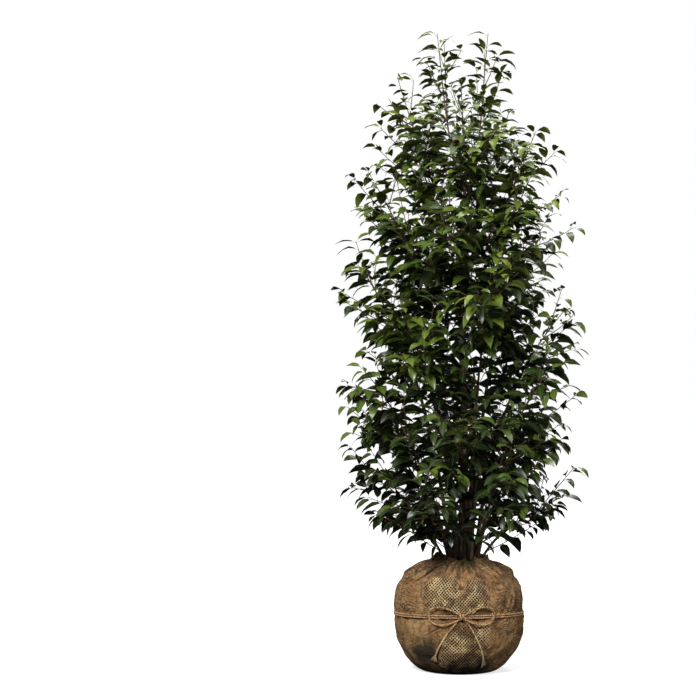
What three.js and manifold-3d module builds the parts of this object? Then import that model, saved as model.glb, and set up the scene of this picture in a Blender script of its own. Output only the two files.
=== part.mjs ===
// A young evergreen laurel lifted from the nursery with its root ball. The ball is wrapped in hessian and
// tied with twine in a bow. A trunk and eighteen thinner stems rise from the mouth of the wrap, and each of
// them ends where it enters a mass of foliage. Millimetres, +Z up, the front with the bow faces -Y, and the
// origin is the middle of the flat underside of the ball.
import * as THREE from "three";
import { mergeVertices } from "three/addons/utils/BufferGeometryUtils.js";
import Module from "manifold-3d";

const wasm = await Module();
wasm.setup();

// Clearance between two solids that meet, and between the leaning trunk and a shoot on its side.
const JOINT_GAP = 0.3;
const SIDE_GAP = 0.7;

// The wrapped root ball. It is widest at its waist, and its mouth, where the stems come out, is a little to
// the right of its middle.
const BALL = {
  radius: 192,
  footRadius: 110,
  footCurve: [2, 0.7],
  waistHeight: 146,
  shoulderRadius: 96,
  shoulderHeight: 328,
  shoulderCurve: [3.9, 0.82],
  rimRadius: 73,
  rimHeight: 337,
  floorRadius: 63,
  floorHeight: 322,
  mouthShift: 14,
};

// How far the wrap stands out in lumps and pleats, and how far the twine pinches it in.
const RELIEF = {
  lump: 3, lumpTwist: 60,
  pleat: 5, pleats: 9, pleatFoot: 215, pleatTop: 315,
  pinch: 3, pinchHalf: 16,
};

// The twine round the ball and its bow.
const TWINE = {
  radius: 2.6,
  height: 172,
  rise: 10,
  offCloth: 1.6,
  strandPitch: 6.4,
  layer: 5.8,
  knot: [10, 6.5, 8],
  loopReach: 87,
  loopHeight: 22,
  loopRoot: 5.5,
  loopRise: 5,
  tailRoot: 4,
  leftTail: { reach: 82, drop: 112 },
  rightTail: { reach: 74, drop: 128 },
};

// The trunk. Its axis leans and winds a little between the ball and its tip.
const TRUNK = {
  footX: 8,
  tipX: 21,
  wander: 7,
  footRadius: 15.5,
  tipRadius: 5,
  taper: 0.8,
  flare: 0.3,
  flareHeight: 26,
  tipHeight: 1500,
};

// Each level is a ring of shoots. A shoot is one curve from its foot to its tip. On the lower levels the
// foot stands in the mouth of the wrap and the first share of the curve is a bough; on the upper ones it is
// on the trunk. Angles are in degrees: pitches above the horizontal, turn the first shoot's azimuth from +X,
// droop how much lower than usual the leaves hang.
const LEVELS = [
  {
    name: "skirt", count: 6, turn: 0, drift: 12, tilt: 0, stagger: 44, droop: 22,
    tipRadius: 292, tipHeight: 540, tipPitch: 20, tipReach: 120,
    footRing: 51, footPitch: 62, footReach: 110, footRadius: 4.6, boughShare: 0.36,
    twigs: 4, twigLength: 150, leaves: 5, leafLength: 142,
  },
  {
    name: "low", count: 6, turn: 27, drift: -6, tilt: 0, stagger: 66, droop: 20,
    tipRadius: 322, tipHeight: 846, tipPitch: 44, tipReach: 210,
    footRing: 46, footPitch: 76, footReach: 200, footRadius: 6, boughShare: 0.4,
    twigs: 5, twigLength: 185, leaves: 6, leafLength: 150,
  },
  {
    name: "middle", count: 6, turn: -10, drift: 2, tilt: 0, stagger: 72, droop: 16,
    tipRadius: 318, tipHeight: 1156, tipPitch: 50, tipReach: 270,
    footRing: 36, footPitch: 84, footReach: 340, footRadius: 7.2, boughShare: 0.54,
    twigs: 5, twigLength: 190, leaves: 6, leafLength: 150,
  },
  {
    name: "shoulder", count: 6, turn: 16, drift: 8, tilt: 0, stagger: 62, droop: 12,
    tipRadius: 288, tipHeight: 1435, tipPitch: 58, tipReach: 150,
    trunkHeight: 985, trunkStep: 27, footPitch: 40, footReach: 130, footRadius: 4.6,
    twigs: 6, twigLength: 185, leaves: 6, leafLength: 144,
  },
  {
    name: "upper", count: 5, turn: -8, drift: 12, tilt: 34, stagger: 46, droop: 6,
    tipRadius: 220, tipHeight: 1706, tipPitch: 70, tipReach: 160,
    trunkHeight: 1215, trunkStep: 34, footPitch: 44, footReach: 120, footRadius: 4.4,
    twigs: 5, twigLength: 170, leaves: 7, leafLength: 130,
  },
  {
    name: "leader", count: 2, turn: 0, drift: 12, tilt: 0, stagger: 0, droop: -2,
    tipRadius: 76, tipHeight: 1927, tipPitch: 84, tipReach: 170,
    trunkHeight: 1432, trunkStep: 30, footPitch: 62, footReach: 90, footRadius: 4.2,
    twigs: 5, twigLength: 120, leaves: 9, leafLength: 102,
  },
  {
    name: "top", count: 1, turn: 100, drift: 16, tilt: 0, stagger: 20, droop: -2,
    tipRadius: 44, tipHeight: 1796, tipPitch: 84, tipReach: 100,
    footPitch: 86, footReach: 90, footRadius: 4.2,
    twigs: 5, twigLength: 120, leaves: 7, leafLength: 106,
  },
];
const SHOOT = { tipRadius: 3.2, taper: 0.85, azimuthSpread: 10, reachSpread: 0.06 };

// The crown's outline: how far it reaches from its axis, up to its neck and then at its top. Its underside
// rises outwards from its foot.
const CROWN = {
  axisX: 4, reach: 398, neckHeight: 1300, topReach: 120, topHeight: 1960, curve: 1.6,
  footHeight: 262, footSlope: 0.6,
};

// Growth of a mass of foliage. Places along a stem or twig are shares of its length.
const SEED = 4051;
const GOLDEN_ANGLE = 137.5;
const TWIG = {
  first: 0.03, last: 0.84, placeSpread: 0.6, openAngle: 60, openFall: 16, openSpread: 12,
  tipShare: 0.6, lengthSpread: 0.3, lift: 0.2, radius: 1.5, fits: [1, 0.8, 0.62, 0.48],
};
const STEM_LEAVES = { first: 0.16, last: 0.9 };
const TWIG_LEAVES = [0.4, 0.7];
const END_LEAF = 0.985;

// A leaf stands for a few of the living plant's leaves, so it is larger. It grows forward along its twig and
// outward from the plant, and turns aside where its first place is taken.
const LEAF = {
  tipShare: 0.66, width: 0.48, thickness: 4.6, widest: 0.42,
  basePitch: 14, tipPitch: -60, pitchSpread: 14, tipSpread: 24, rollSpread: 50,
  forward: 0.5, outward: 0.45, turns: [0, 35, -35, 70, -70, 110, -110],
  steepest: 69, endFits: [1, 0.8, 0.6],
};

// How far foliage keeps from the next mass, from trunk and boughs, and from the ball.
const SPACE_MARGIN = 2;
const LIMB_CLEARANCE = 7;
const LEAF_CLEARANCE = 1;
const BALL_CLEARANCE = 12;

const SIDES = { trunk: 8, bough: 5, stem: 3, twine: 6, guard: 8 };

const BURLAP = new THREE.MeshStandardMaterial({ color: 0x8a6b45, roughness: 0.95, metalness: 0 });
const JUTE = new THREE.MeshStandardMaterial({ color: 0xa98252, roughness: 0.9, metalness: 0 });
const BARK = new THREE.MeshStandardMaterial({ color: 0x33261c, roughness: 0.85, metalness: 0 });
const GREEN = new THREE.MeshStandardMaterial({ color: 0x33521d, roughness: 0.45, metalness: 0 });

const UP = new THREE.Vector3(0, 0, 1);
const FRONT = -Math.PI / 2;
const rad = THREE.MathUtils.degToRad;
const lerp = THREE.MathUtils.lerp;

// A repeatable stream of numbers from 0 to 1.
function randomStream(seed) {
  let state = seed;
  const next = () => {
    state = (state * 16807) % 2147483647;
    return state / 2147483647;
  };
  for (let i = 0; i < 3; i++) next();
  return next;
}

// A vector of a given length, from its azimuth and its pitch above the horizontal.
function polar(azimuth, pitch, length) {
  const level = length * Math.cos(pitch);
  return new THREE.Vector3(level * Math.cos(azimuth), level * Math.sin(azimuth), length * Math.sin(pitch));
}

// A point at a share of the way along a row of points, and the heading there.
function alongRow(points, share) {
  const place = share * (points.length - 1);
  const i = Math.min(Math.floor(place), points.length - 2);
  const heading = points[i + 1].clone().sub(points[i]).normalize();
  return [points[i].clone().lerp(points[i + 1], place - i), heading];
}

function geometryOf(positions, faces) {
  const geometry = new THREE.BufferGeometry();
  geometry.setAttribute("position", new THREE.Float32BufferAttribute(positions, 3));
  geometry.setIndex(faces);
  return geometry;
}

// A closed rod through a row of points, with its own radius at each. An end that has a plane,
// { point, normal }, is slid along the rod onto it.
function rodGeometry({ points, radii, footPlane, tipPlane }, sides) {
  const positions = [];
  const faces = [];
  const last = points.length - 1;
  const side = new THREE.Vector3();
  points.forEach((point, i) => {
    const before = points[Math.max(i - 1, 0)];
    const after = points[Math.min(i + 1, last)];
    const heading = after.clone().sub(before).normalize();
    if (i === 0) side.copy(Math.abs(heading.z) < 0.99 ? UP : new THREE.Vector3(1, 0, 0));
    side.addScaledVector(heading, -side.dot(heading)).normalize();
    const other = heading.clone().cross(side);
    const plane = (i === 0 && footPlane) || (i === last && tipPlane);
    for (let k = 0; k < sides; k++) {
      const angle = (2 * Math.PI * k) / sides;
      const corner = point.clone();
      corner.addScaledVector(side, radii[i] * Math.cos(angle));
      corner.addScaledVector(other, radii[i] * Math.sin(angle));
      if (plane) {
        const short = plane.point.clone().sub(corner).dot(plane.normal);
        corner.addScaledVector(heading, short / heading.dot(plane.normal));
      }
      positions.push(corner.x, corner.y, corner.z);
    }
  });
  for (let i = 0; i < last; i++) {
    for (let k = 0; k < sides; k++) {
      const a = i * sides + k;
      const b = i * sides + ((k + 1) % sides);
      faces.push(a, b, b + sides, a, b + sides, a + sides);
    }
  }
  for (let k = 1; k < sides - 1; k++) {
    faces.push(0, k + 1, k, last * sides, last * sides + k, last * sides + k + 1);
  }
  return geometryOf(positions, faces);
}

function solidOf(geometry) {
  const merged = mergeVertices(geometry, 1e-4);
  return new wasm.Manifold(new wasm.Mesh({
    numProp: 3,
    vertProperties: merged.attributes.position.array,
    triVerts: new Uint32Array(merged.index.array),
  }));
}

function geometryOfSolid(solid) {
  const mesh = solid.getMesh();
  return geometryOf(Array.from(mesh.vertProperties), Array.from(mesh.triVerts));
}

// Root ball

function twineHeightAt(azimuth) {
  return TWINE.height + TWINE.rise * Math.cos(azimuth - FRONT);
}

// Radius of the wrapped ball's plain outline at a height.
function ballOutline(height) {
  if (height < BALL.waistHeight) {
    const drop = 1 - height / BALL.waistHeight;
    const [inner, outer] = BALL.footCurve;
    return lerp(BALL.footRadius, BALL.radius, (1 - drop ** inner) ** outer);
  }
  const rise = Math.min((height - BALL.waistHeight) / (BALL.shoulderHeight - BALL.waistHeight), 1);
  const [inner, outer] = BALL.shoulderCurve;
  return lerp(BALL.shoulderRadius, BALL.radius, (1 - rise ** inner) ** outer);
}

// The ball's unevenness: broad lumps, pleats where the cloth is gathered, and the pinch under the twine.
function ballRelief(azimuth, height) {
  const middle = Math.sin(Math.PI * Math.min(height / BALL.shoulderHeight, 1));
  const lumps = Math.sin(2 * azimuth + 0.7) + 0.7 * Math.sin(3 * azimuth + height / RELIEF.lumpTwist);
  const gather = THREE.MathUtils.smoothstep(height, RELIEF.pleatFoot, RELIEF.pleatTop);
  const pleats = gather * Math.cos(RELIEF.pleats * azimuth + 0.5);
  const fromTwine = (height - twineHeightAt(azimuth)) / RELIEF.pinchHalf;
  return RELIEF.lump * middle * lumps + RELIEF.pleat * pleats - RELIEF.pinch * Math.exp(-(fromTwine ** 2));
}

function ballRadiusAt(azimuth, height) {
  return ballOutline(height) + ballRelief(azimuth, height);
}

// The heights of the ball's rows of facets, closer together where it turns and at the twine.
const BALL_ROWS = [0, 11, 34, 78, 140, 160, 176, 192, 212, 250, 280, 304, 320];

function rootBallGeometry() {
  const profile = [
    new THREE.Vector2(0, 0),
    ...BALL_ROWS.map((z) => new THREE.Vector2(ballOutline(z), z)),
    new THREE.Vector2(BALL.shoulderRadius, BALL.shoulderHeight),
    new THREE.Vector2(BALL.rimRadius, BALL.rimHeight),
    new THREE.Vector2(BALL.floorRadius, BALL.floorHeight),
    new THREE.Vector2(0, BALL.floorHeight),
  ];
  const geometry = new THREE.LatheGeometry(profile, 3 * RELIEF.pleats);
  geometry.rotateX(Math.PI / 2);
  const position = geometry.getAttribute("position");
  for (let i = 0; i < position.count; i++) {
    const row = i % profile.length;
    if (row > 0 && row <= BALL_ROWS.length) {
      const azimuth = Math.atan2(position.getY(i), position.getX(i));
      const stretch = 1 + ballRelief(azimuth, profile[row].y) / profile[row].x;
      position.setXY(i, position.getX(i) * stretch, position.getY(i) * stretch);
    }
    if (row > BALL_ROWS.length + 1) position.setX(i, position.getX(i) + BALL.mouthShift);
  }
  return geometry;
}

// Twine

const STRAND_STAND_OFF = TWINE.radius + TWINE.offCloth;
const BOW_STAND_OFF = STRAND_STAND_OFF + TWINE.layer;
const KNOT_SIDE = TWINE.knot[0] + 1;

// A point that lies on the wrap, from how far it is round the ball from the bow, how far it is above the
// tied line, and how far it stands off the cloth.
function onWrap(along, above, standOff) {
  const azimuth = FRONT + along / BALL.radius;
  const height = twineHeightAt(azimuth) + above;
  const radius = ballRadiusAt(azimuth, height) + standOff;
  return new THREE.Vector3(radius * Math.cos(azimuth), radius * Math.sin(azimuth), height);
}

function twineGeometry(pointAt, steps) {
  const path = new THREE.CatmullRomCurve3(Array.from({ length: steps + 1 }, (_, i) => pointAt(i / steps)));
  const section = new THREE.Shape().absarc(0, 0, TWINE.radius, 0, 2 * Math.PI);
  return new THREE.ExtrudeGeometry(section, {
    extrudePath: path,
    steps,
    curveSegments: SIDES.twine / 2,
    bevelEnabled: false,
  });
}

// One turn round the ball, from one side of the knot to the other.
function strandGeometry(above) {
  const turn = 2 * Math.PI * BALL.radius;
  return twineGeometry((s) => onWrap(lerp(KNOT_SIDE, turn - KNOT_SIDE, s), above, STRAND_STAND_OFF), 30);
}

// A loop of the bow, which leaves the knot on one hand and comes back to it lower down.
function loopGeometry(hand) {
  return twineGeometry((s) => {
    const out = Math.sin(Math.PI * s) ** 1.15;
    const belly = TWINE.loopHeight * Math.sin(2 * Math.PI * s);
    const above = TWINE.loopRoot * Math.cos(Math.PI * s) + belly + TWINE.loopRise * out;
    return onWrap(hand * (KNOT_SIDE + TWINE.loopReach * out), above, BOW_STAND_OFF);
  }, 16);
}

// A free end of the bow, hanging down and outwards over the cloth.
function tailGeometry(hand, { reach, drop }) {
  return twineGeometry((s) => {
    const along = hand * (TWINE.tailRoot + reach * s ** 0.9);
    return onWrap(along, -TWINE.knot[0] - drop * s ** 1.15, STRAND_STAND_OFF);
  }, 8);
}

function knotGeometry() {
  const geometry = new THREE.SphereGeometry(1, 8, 6);
  geometry.scale(...TWINE.knot);
  const middle = onWrap(0, 0, STRAND_STAND_OFF + TWINE.layer / 2 + 1);
  geometry.translate(middle.x, middle.y, middle.z);
  return geometry;
}

// Trunk

function trunkRise(height) {
  return (height - BALL.floorHeight) / (TRUNK.tipHeight - BALL.floorHeight);
}

function trunkAxis(height) {
  const rise = trunkRise(height);
  const x = lerp(TRUNK.footX, TRUNK.tipX, rise) + TRUNK.wander * Math.sin(2 * Math.PI * rise);
  return new THREE.Vector3(x, TRUNK.wander * Math.sin(1.4 * Math.PI * rise), height);
}

function trunkRadius(height) {
  const flare = 1 + TRUNK.flare * Math.exp(-(height - BALL.floorHeight) / TRUNK.flareHeight);
  return lerp(TRUNK.footRadius, TRUNK.tipRadius, trunkRise(height) ** TRUNK.taper) * flare;
}

function trunkLimb() {
  const steps = 12;
  const foot = BALL.floorHeight + JOINT_GAP;
  const points = [];
  for (let i = 0; i <= steps; i++) {
    points.push(trunkAxis(lerp(foot, TRUNK.tipHeight, (i / steps) ** 1.4)));
  }
  const footPlane = { point: points[0], normal: UP };
  const tipPlane = { point: points[steps], normal: UP };
  return { name: "trunk", points, radii: points.map((point) => trunkRadius(point.z)), footPlane, tipPlane };
}

// Shoots: each is a bough in its first share, if it has one, and the stem of a mass from there on

// The foot of a shoot, in the mouth of the wrap, at the trunk's side or on its tip, as the plane that its
// end lies in.
function footOf(level, index, azimuth) {
  if (level.footRing) {
    const point = polar(azimuth, 0, level.footRing);
    point.x += BALL.mouthShift;
    point.z = BALL.floorHeight + JOINT_GAP;
    return { point, normal: UP };
  }
  if (!level.trunkHeight) {
    const point = trunkAxis(TRUNK.tipHeight);
    point.z += JOINT_GAP;
    return { point, normal: UP };
  }
  const height = level.trunkHeight + level.trunkStep * index;
  const normal = polar(azimuth, 0, 1);
  const point = trunkAxis(height).addScaledVector(normal, trunkRadius(height) + SIDE_GAP);
  return { point, normal };
}

function shootOf(level, index, number) {
  const random = randomStream(SEED + 97 * number);
  const turned = level.turn + (360 * index) / level.count;
  const azimuth = rad(turned + SHOOT.azimuthSpread * (random() - 0.5));
  const foot = footOf(level, index, azimuth);
  const tip = polar(azimuth, 0, level.tipRadius * (1 + SHOOT.reachSpread * (random() - 0.5)));
  tip.x += level.drift;
  tip.z = level.tipHeight - level.tilt * Math.cos(azimuth) + level.stagger * (index % 2 ? 1 : -1);
  const curve = new THREE.CubicBezierCurve3(
    foot.point,
    foot.point.clone().add(polar(azimuth, rad(level.footPitch), level.footReach)),
    tip.clone().sub(polar(azimuth, rad(level.tipPitch), level.tipReach)),
    tip,
  );
  const name = level.name + "_" + (index + 1);
  return { name, level, number, azimuth, foot, curve, share: level.boughShare ?? 0 };
}

const SHOOTS = [];
LEVELS.forEach((level) => {
  for (let index = 0; index < level.count; index++) SHOOTS.push(shootOf(level, index, SHOOTS.length));
});

// A stretch of a shoot as a row of points with radii, between two shares of its curve.
function stretchOf(shoot, from, to, steps) {
  const points = [];
  const radii = [];
  for (let i = 0; i <= steps; i++) {
    const t = lerp(from, to, i / steps);
    points.push(shoot.curve.getPoint(t));
    radii.push(lerp(shoot.level.footRadius, SHOOT.tipRadius, t ** SHOOT.taper));
  }
  return { points, radii };
}

// A bough and its stem meet in two parallel planes with the joint's clearance between them.
function boughLimb(shoot) {
  const tipPlane = {
    point: shoot.curve.getPoint(shoot.share),
    normal: shoot.curve.getTangent(shoot.share),
  };
  const stretch = stretchOf(shoot, 0, shoot.share, 5);
  return { name: "bough_" + shoot.name, ...stretch, footPlane: shoot.foot, tipPlane };
}

function stemOf(shoot) {
  const stretch = stretchOf(shoot, shoot.share, 1, 6);
  if (!shoot.share) return { ...stretch, footPlane: shoot.foot };
  const normal = shoot.curve.getTangent(shoot.share);
  const point = shoot.curve.getPoint(shoot.share).addScaledVector(normal, JOINT_GAP);
  return { ...stretch, footPlane: { point, normal } };
}

const TRUNK_LIMB = trunkLimb();
const BOUGHS = SHOOTS.filter((shoot) => shoot.share).map(boughLimb);
const LIMBS = [TRUNK_LIMB, ...BOUGHS];
const STEMS = SHOOTS.map(stemOf);

// Masses of foliage

function distanceToRow(point, points) {
  const line = new THREE.Line3();
  const nearest = new THREE.Vector3();
  let distance = Infinity;
  for (let i = 0; i < points.length - 1; i++) {
    line.set(points[i], points[i + 1]).closestPointToPoint(point, true, nearest);
    distance = Math.min(distance, nearest.distanceTo(point));
  }
  return distance;
}

function crownReach(height) {
  const above = Math.max(height - CROWN.neckHeight, 0);
  const rise = Math.min(above / (CROWN.topHeight - CROWN.neckHeight), 1);
  return lerp(CROWN.reach, CROWN.topReach, rise ** CROWN.curve);
}

// A mass's own space is everything inside the crown's outline and clear of the ball that is nearer to its
// stem than to any other stem.
function inSpaceOf(shoot, point) {
  const reach = Math.hypot(point.x - CROWN.axisX, point.y);
  if (reach > crownReach(point.z) || point.z < CROWN.footHeight + CROWN.footSlope * reach) return false;
  const offBall = Math.hypot(point.x, point.y) - BALL_CLEARANCE;
  if (point.z < BALL.rimHeight + BALL_CLEARANCE && offBall < ballOutline(point.z)) return false;
  const own = distanceToRow(point, STEMS[shoot.number].points) + SPACE_MARGIN;
  return STEMS.every((stem, other) => other === shoot.number || distanceToRow(point, stem.points) > own);
}

function clearOfLimbs(point) {
  return LIMBS.every((limb) => distanceToRow(point, limb.points) > limb.radii[0] + LIMB_CLEARANCE);
}

// A direction square to an axis, at an angle round it from the level direction on its right.
function across(axis, angle) {
  const level = axis.clone().cross(UP);
  if (level.length() < 0.05) level.set(1, 0, 0);
  level.normalize();
  const steep = level.clone().cross(axis).normalize();
  return level.multiplyScalar(Math.cos(angle)).addScaledVector(steep, Math.sin(angle));
}

// The twigs of a mass as rows of three points. They stand by turns round the stem, and each is as long as
// its space allows.
function twigsOf(shoot) {
  const random = randomStream(SEED + 31 + 89 * shoot.number);
  const phase = 360 * random();
  const twigs = [];
  for (let k = 0; k < shoot.level.twigs; k++) {
    const turn = (k + TWIG.placeSpread * random()) / shoot.level.twigs;
    const place = lerp(TWIG.first, TWIG.last, turn);
    const [root, axis] = alongRow(STEMS[shoot.number].points, place);
    const open = rad(TWIG.openAngle - TWIG.openFall * place + TWIG.openSpread * (random() - 0.5));
    const heading = across(axis, rad(phase + GOLDEN_ANGLE * k)).multiplyScalar(Math.sin(open));
    heading.addScaledVector(axis, Math.cos(open));
    const spread = 1 + TWIG.lengthSpread * (random() - 0.5);
    const wanted = shoot.level.twigLength * lerp(1, TWIG.tipShare, place) * spread;
    for (const fit of TWIG.fits) {
      const length = wanted * fit;
      const lift = TWIG.lift * length;
      const middle = root.clone().addScaledVector(heading, length / 2).addScaledVector(UP, lift / 4);
      const tip = root.clone().addScaledVector(heading, length).addScaledVector(UP, lift);
      const samples = [root.clone().lerp(middle, 0.5), middle, middle.clone().lerp(tip, 0.5), tip];
      if (samples.every((point) => inSpaceOf(shoot, point) && clearOfLimbs(point))) {
        twigs.push([root, middle, tip]);
        break;
      }
    }
  }
  return twigs;
}

// A leaf as five corners: root, tip, the two edges and the keel below them. Its midrib is an arc that turns
// from the base pitch to the tip pitch, so the blade arches over and hangs.
function leafCorners(root, azimuth, length, basePitch, tipPitch, roll) {
  const bend = tipPitch - basePitch;
  const out = polar(azimuth, 0, length / bend);
  const arc = (s) => root.clone()
    .addScaledVector(out, Math.sin(basePitch + bend * s) - Math.sin(basePitch))
    .addScaledVector(UP, (length * (Math.cos(basePitch) - Math.cos(basePitch + bend * s))) / bend);
  const right = polar(azimuth - Math.PI / 2, 0, 1);
  const face = polar(azimuth, basePitch + bend * LEAF.widest + Math.PI / 2, 1);
  const side = right.clone().multiplyScalar(Math.cos(roll)).addScaledVector(face, Math.sin(roll));
  const below = face.multiplyScalar(-Math.cos(roll)).addScaledVector(right, Math.sin(roll));
  const halfWidth = (LEAF.width * length) / 2;
  return [
    root,
    arc(1),
    arc(LEAF.widest).addScaledVector(side, halfWidth),
    arc(LEAF.widest).addScaledVector(side, -halfWidth),
    arc(LEAF.widest).addScaledVector(below, LEAF.thickness),
  ];
}

function leafSolid(corners) {
  const [root, tip, right, left, keel] = [0, 1, 2, 3, 4];
  return solidOf(geometryOf(corners.flatMap((corner) => corner.toArray()), [
    root, right, left, tip, left, right,
    right, root, keel, tip, right, keel, left, tip, keel, root, left, keel,
  ]));
}

// The places on a leaf that have to be in its mass's space.
function leafSamples([root, tip, right, left, keel]) {
  const between = [[root, right], [root, left], [right, tip], [left, tip], [keel, tip]];
  return [tip, right, left, keel, ...between.map(([a, b]) => a.clone().lerp(b, 0.5))];
}

function fuse(solids) {
  return solids.reduce((all, one) => all.add(one));
}

// Trunk and boughs with a skin of clearance, which no leaf may touch.
const LIMB_GUARD = fuse(LIMBS.map((limb) => {
  const radii = limb.radii.map((radius) => radius + LEAF_CLEARANCE);
  return solidOf(rodGeometry({ ...limb, radii }, SIDES.guard));
}));

function woodOf(stem, twigs) {
  const rods = twigs.map((points) => ({ points, radii: points.map(() => TWIG.radius) }));
  return fuse([stem, ...rods].map((rod) => solidOf(rodGeometry(rod, SIDES.stem))));
}

// A mass: stem and twigs fused, with every leaf that has room fused on.
function foliageGeometry(shoot) {
  const random = randomStream(SEED + 53 + 83 * shoot.number);
  const { level } = shoot;
  const stem = STEMS[shoot.number];
  const twigs = twigsOf(shoot);
  let blades = null;

  const fuseLeaf = (root, azimuth, length, basePitch) => {
    const tipPitch = rad(LEAF.tipPitch - level.droop + LEAF.tipSpread * (random() - 0.5));
    const roll = rad(LEAF.rollSpread * (random() - 0.5));
    const corners = leafCorners(root, azimuth, length, basePitch, tipPitch, roll);
    if (!leafSamples(corners).every((point) => inSpaceOf(shoot, point))) return false;
    const blade = leafSolid(corners);
    if (!blade.intersect(LIMB_GUARD).isEmpty()) return false;
    if (blades && !blade.intersect(blades).isEmpty()) return false;
    blades = blades ? blades.add(blade) : blade;
    return true;
  };
  const addLeaf = (row, place, turn, length) => {
    const [root, axis] = alongRow(row, place);
    const heading = across(axis, turn).addScaledVector(axis, LEAF.forward);
    heading.addScaledVector(polar(shoot.azimuth, 0, 1), LEAF.outward);
    const azimuth = Math.atan2(heading.y, heading.x);
    const basePitch = rad(LEAF.basePitch - level.droop + LEAF.pitchSpread * (random() - 0.5));
    LEAF.turns.some((aside) => fuseLeaf(root, azimuth + rad(aside), length, basePitch));
  };
  const addEndLeaf = (row, length) => {
    const [root, axis] = alongRow(row, END_LEAF);
    const azimuth = Math.atan2(axis.y, axis.x);
    const basePitch = Math.min(Math.asin(axis.z), rad(LEAF.steepest));
    LEAF.endFits.some((fit) => fuseLeaf(root, azimuth, length * fit, basePitch));
  };

  const phase = 360 * random();
  const lengthAt = (place) => level.leafLength * lerp(1, LEAF.tipShare, place);
  for (let k = 0; k < level.leaves; k++) {
    const place = lerp(STEM_LEAVES.first, STEM_LEAVES.last, k / (level.leaves - 1));
    addLeaf(stem.points, place, rad(phase + GOLDEN_ANGLE * k), lengthAt(place));
  }
  addEndLeaf(stem.points, lengthAt(1));
  twigs.forEach((row) => {
    TWIG_LEAVES.forEach((place, k) => addLeaf(row, place, rad(180 * k), lengthAt(place / 2)));
    addEndLeaf(row, lengthAt(END_LEAF / 2));
  });

  const bodies = woodOf(stem, twigs).add(blades).decompose();
  return geometryOfSolid(bodies.reduce((best, one) => (one.volume() > best.volume() ? one : best)));
}

// The whole object

const plant = new THREE.Group();

function addPiece(name, geometry, material) {
  const mesh = new THREE.Mesh(geometry, material);
  mesh.name = name;
  plant.add(mesh);
}

addPiece("root_ball", rootBallGeometry(), BURLAP);
addPiece("twine_upper_strand", strandGeometry(TWINE.strandPitch / 2), JUTE);
addPiece("twine_lower_strand", strandGeometry(-TWINE.strandPitch / 2), JUTE);
addPiece("twine_knot", knotGeometry(), JUTE);
addPiece("twine_left_loop", loopGeometry(-1), JUTE);
addPiece("twine_right_loop", loopGeometry(1), JUTE);
addPiece("twine_left_tail", tailGeometry(-1, TWINE.leftTail), JUTE);
addPiece("twine_right_tail", tailGeometry(1, TWINE.rightTail), JUTE);
addPiece("trunk", rodGeometry(TRUNK_LIMB, SIDES.trunk), BARK);
BOUGHS.forEach((bough) => addPiece(bough.name, rodGeometry(bough, SIDES.bough), BARK));
SHOOTS.forEach((shoot) => addPiece("foliage_" + shoot.name, foliageGeometry(shoot), GREEN));

export default plant;
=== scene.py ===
"""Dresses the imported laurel: bark, twigs and leaves on its stems, hessian and twine on its root ball.

The stems grow by the same sizes, rule and stream of numbers as the solids, in millimetres, and are carried on
to finer twigs with leaves of their living size. Meshes are made in metres.
"""

import math
from types import SimpleNamespace as Sizes

import bpy
import numpy as np
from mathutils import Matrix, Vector


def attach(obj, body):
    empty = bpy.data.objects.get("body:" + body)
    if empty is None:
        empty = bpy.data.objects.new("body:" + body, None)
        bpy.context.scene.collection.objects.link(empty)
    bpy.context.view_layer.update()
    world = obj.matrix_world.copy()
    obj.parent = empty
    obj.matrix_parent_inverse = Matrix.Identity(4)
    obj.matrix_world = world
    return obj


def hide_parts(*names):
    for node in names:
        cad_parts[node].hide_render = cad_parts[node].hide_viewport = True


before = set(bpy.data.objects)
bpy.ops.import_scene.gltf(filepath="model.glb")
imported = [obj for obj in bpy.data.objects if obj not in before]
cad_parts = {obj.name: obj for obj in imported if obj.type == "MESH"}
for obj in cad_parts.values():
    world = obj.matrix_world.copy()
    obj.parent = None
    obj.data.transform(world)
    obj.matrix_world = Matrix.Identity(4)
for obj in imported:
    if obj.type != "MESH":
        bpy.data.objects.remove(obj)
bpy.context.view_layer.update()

MM = 0.001
UP = np.array([0.0, 0.0, 1.0])
RIGHT = np.array([1.0, 0.0, 0.0])
FRONT = -math.pi / 2
JOINT_GAP = 0.3
SIDE_GAP = 0.7
TURN = 2 * math.pi
SEED = 4051
GOLDEN_ANGLE = 137.5

# The solids' sizes

BALL = Sizes(
    radius=192, foot_radius=110, foot_curve=(2, 0.7), waist_height=146,
    shoulder_radius=96, shoulder_height=328, shoulder_curve=(3.9, 0.82),
    rim_radius=73, rim_height=337, floor_height=322, mouth_shift=14,
)
RELIEF = Sizes(
    lump=3, lump_twist=60, pleat=5, pleats=9, pleat_foot=215, pleat_top=315, pinch=3, pinch_half=16,
)
TWINE = Sizes(
    radius=2.6, height=172, rise=10, off_cloth=1.6, strand_pitch=6.4, layer=5.8, knot_half=10,
    loop_reach=87, loop_height=22, loop_root=5.5, loop_rise=5, tail_root=4,
    left_tail=(82, 112), right_tail=(74, 128),
)
TRUNK = Sizes(
    foot_x=8, tip_x=21, wander=7, turns=(2, 1.4), foot_radius=15.5, tip_radius=5, taper=0.8,
    flare=0.3, flare_height=26, tip_height=1500,
)
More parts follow.
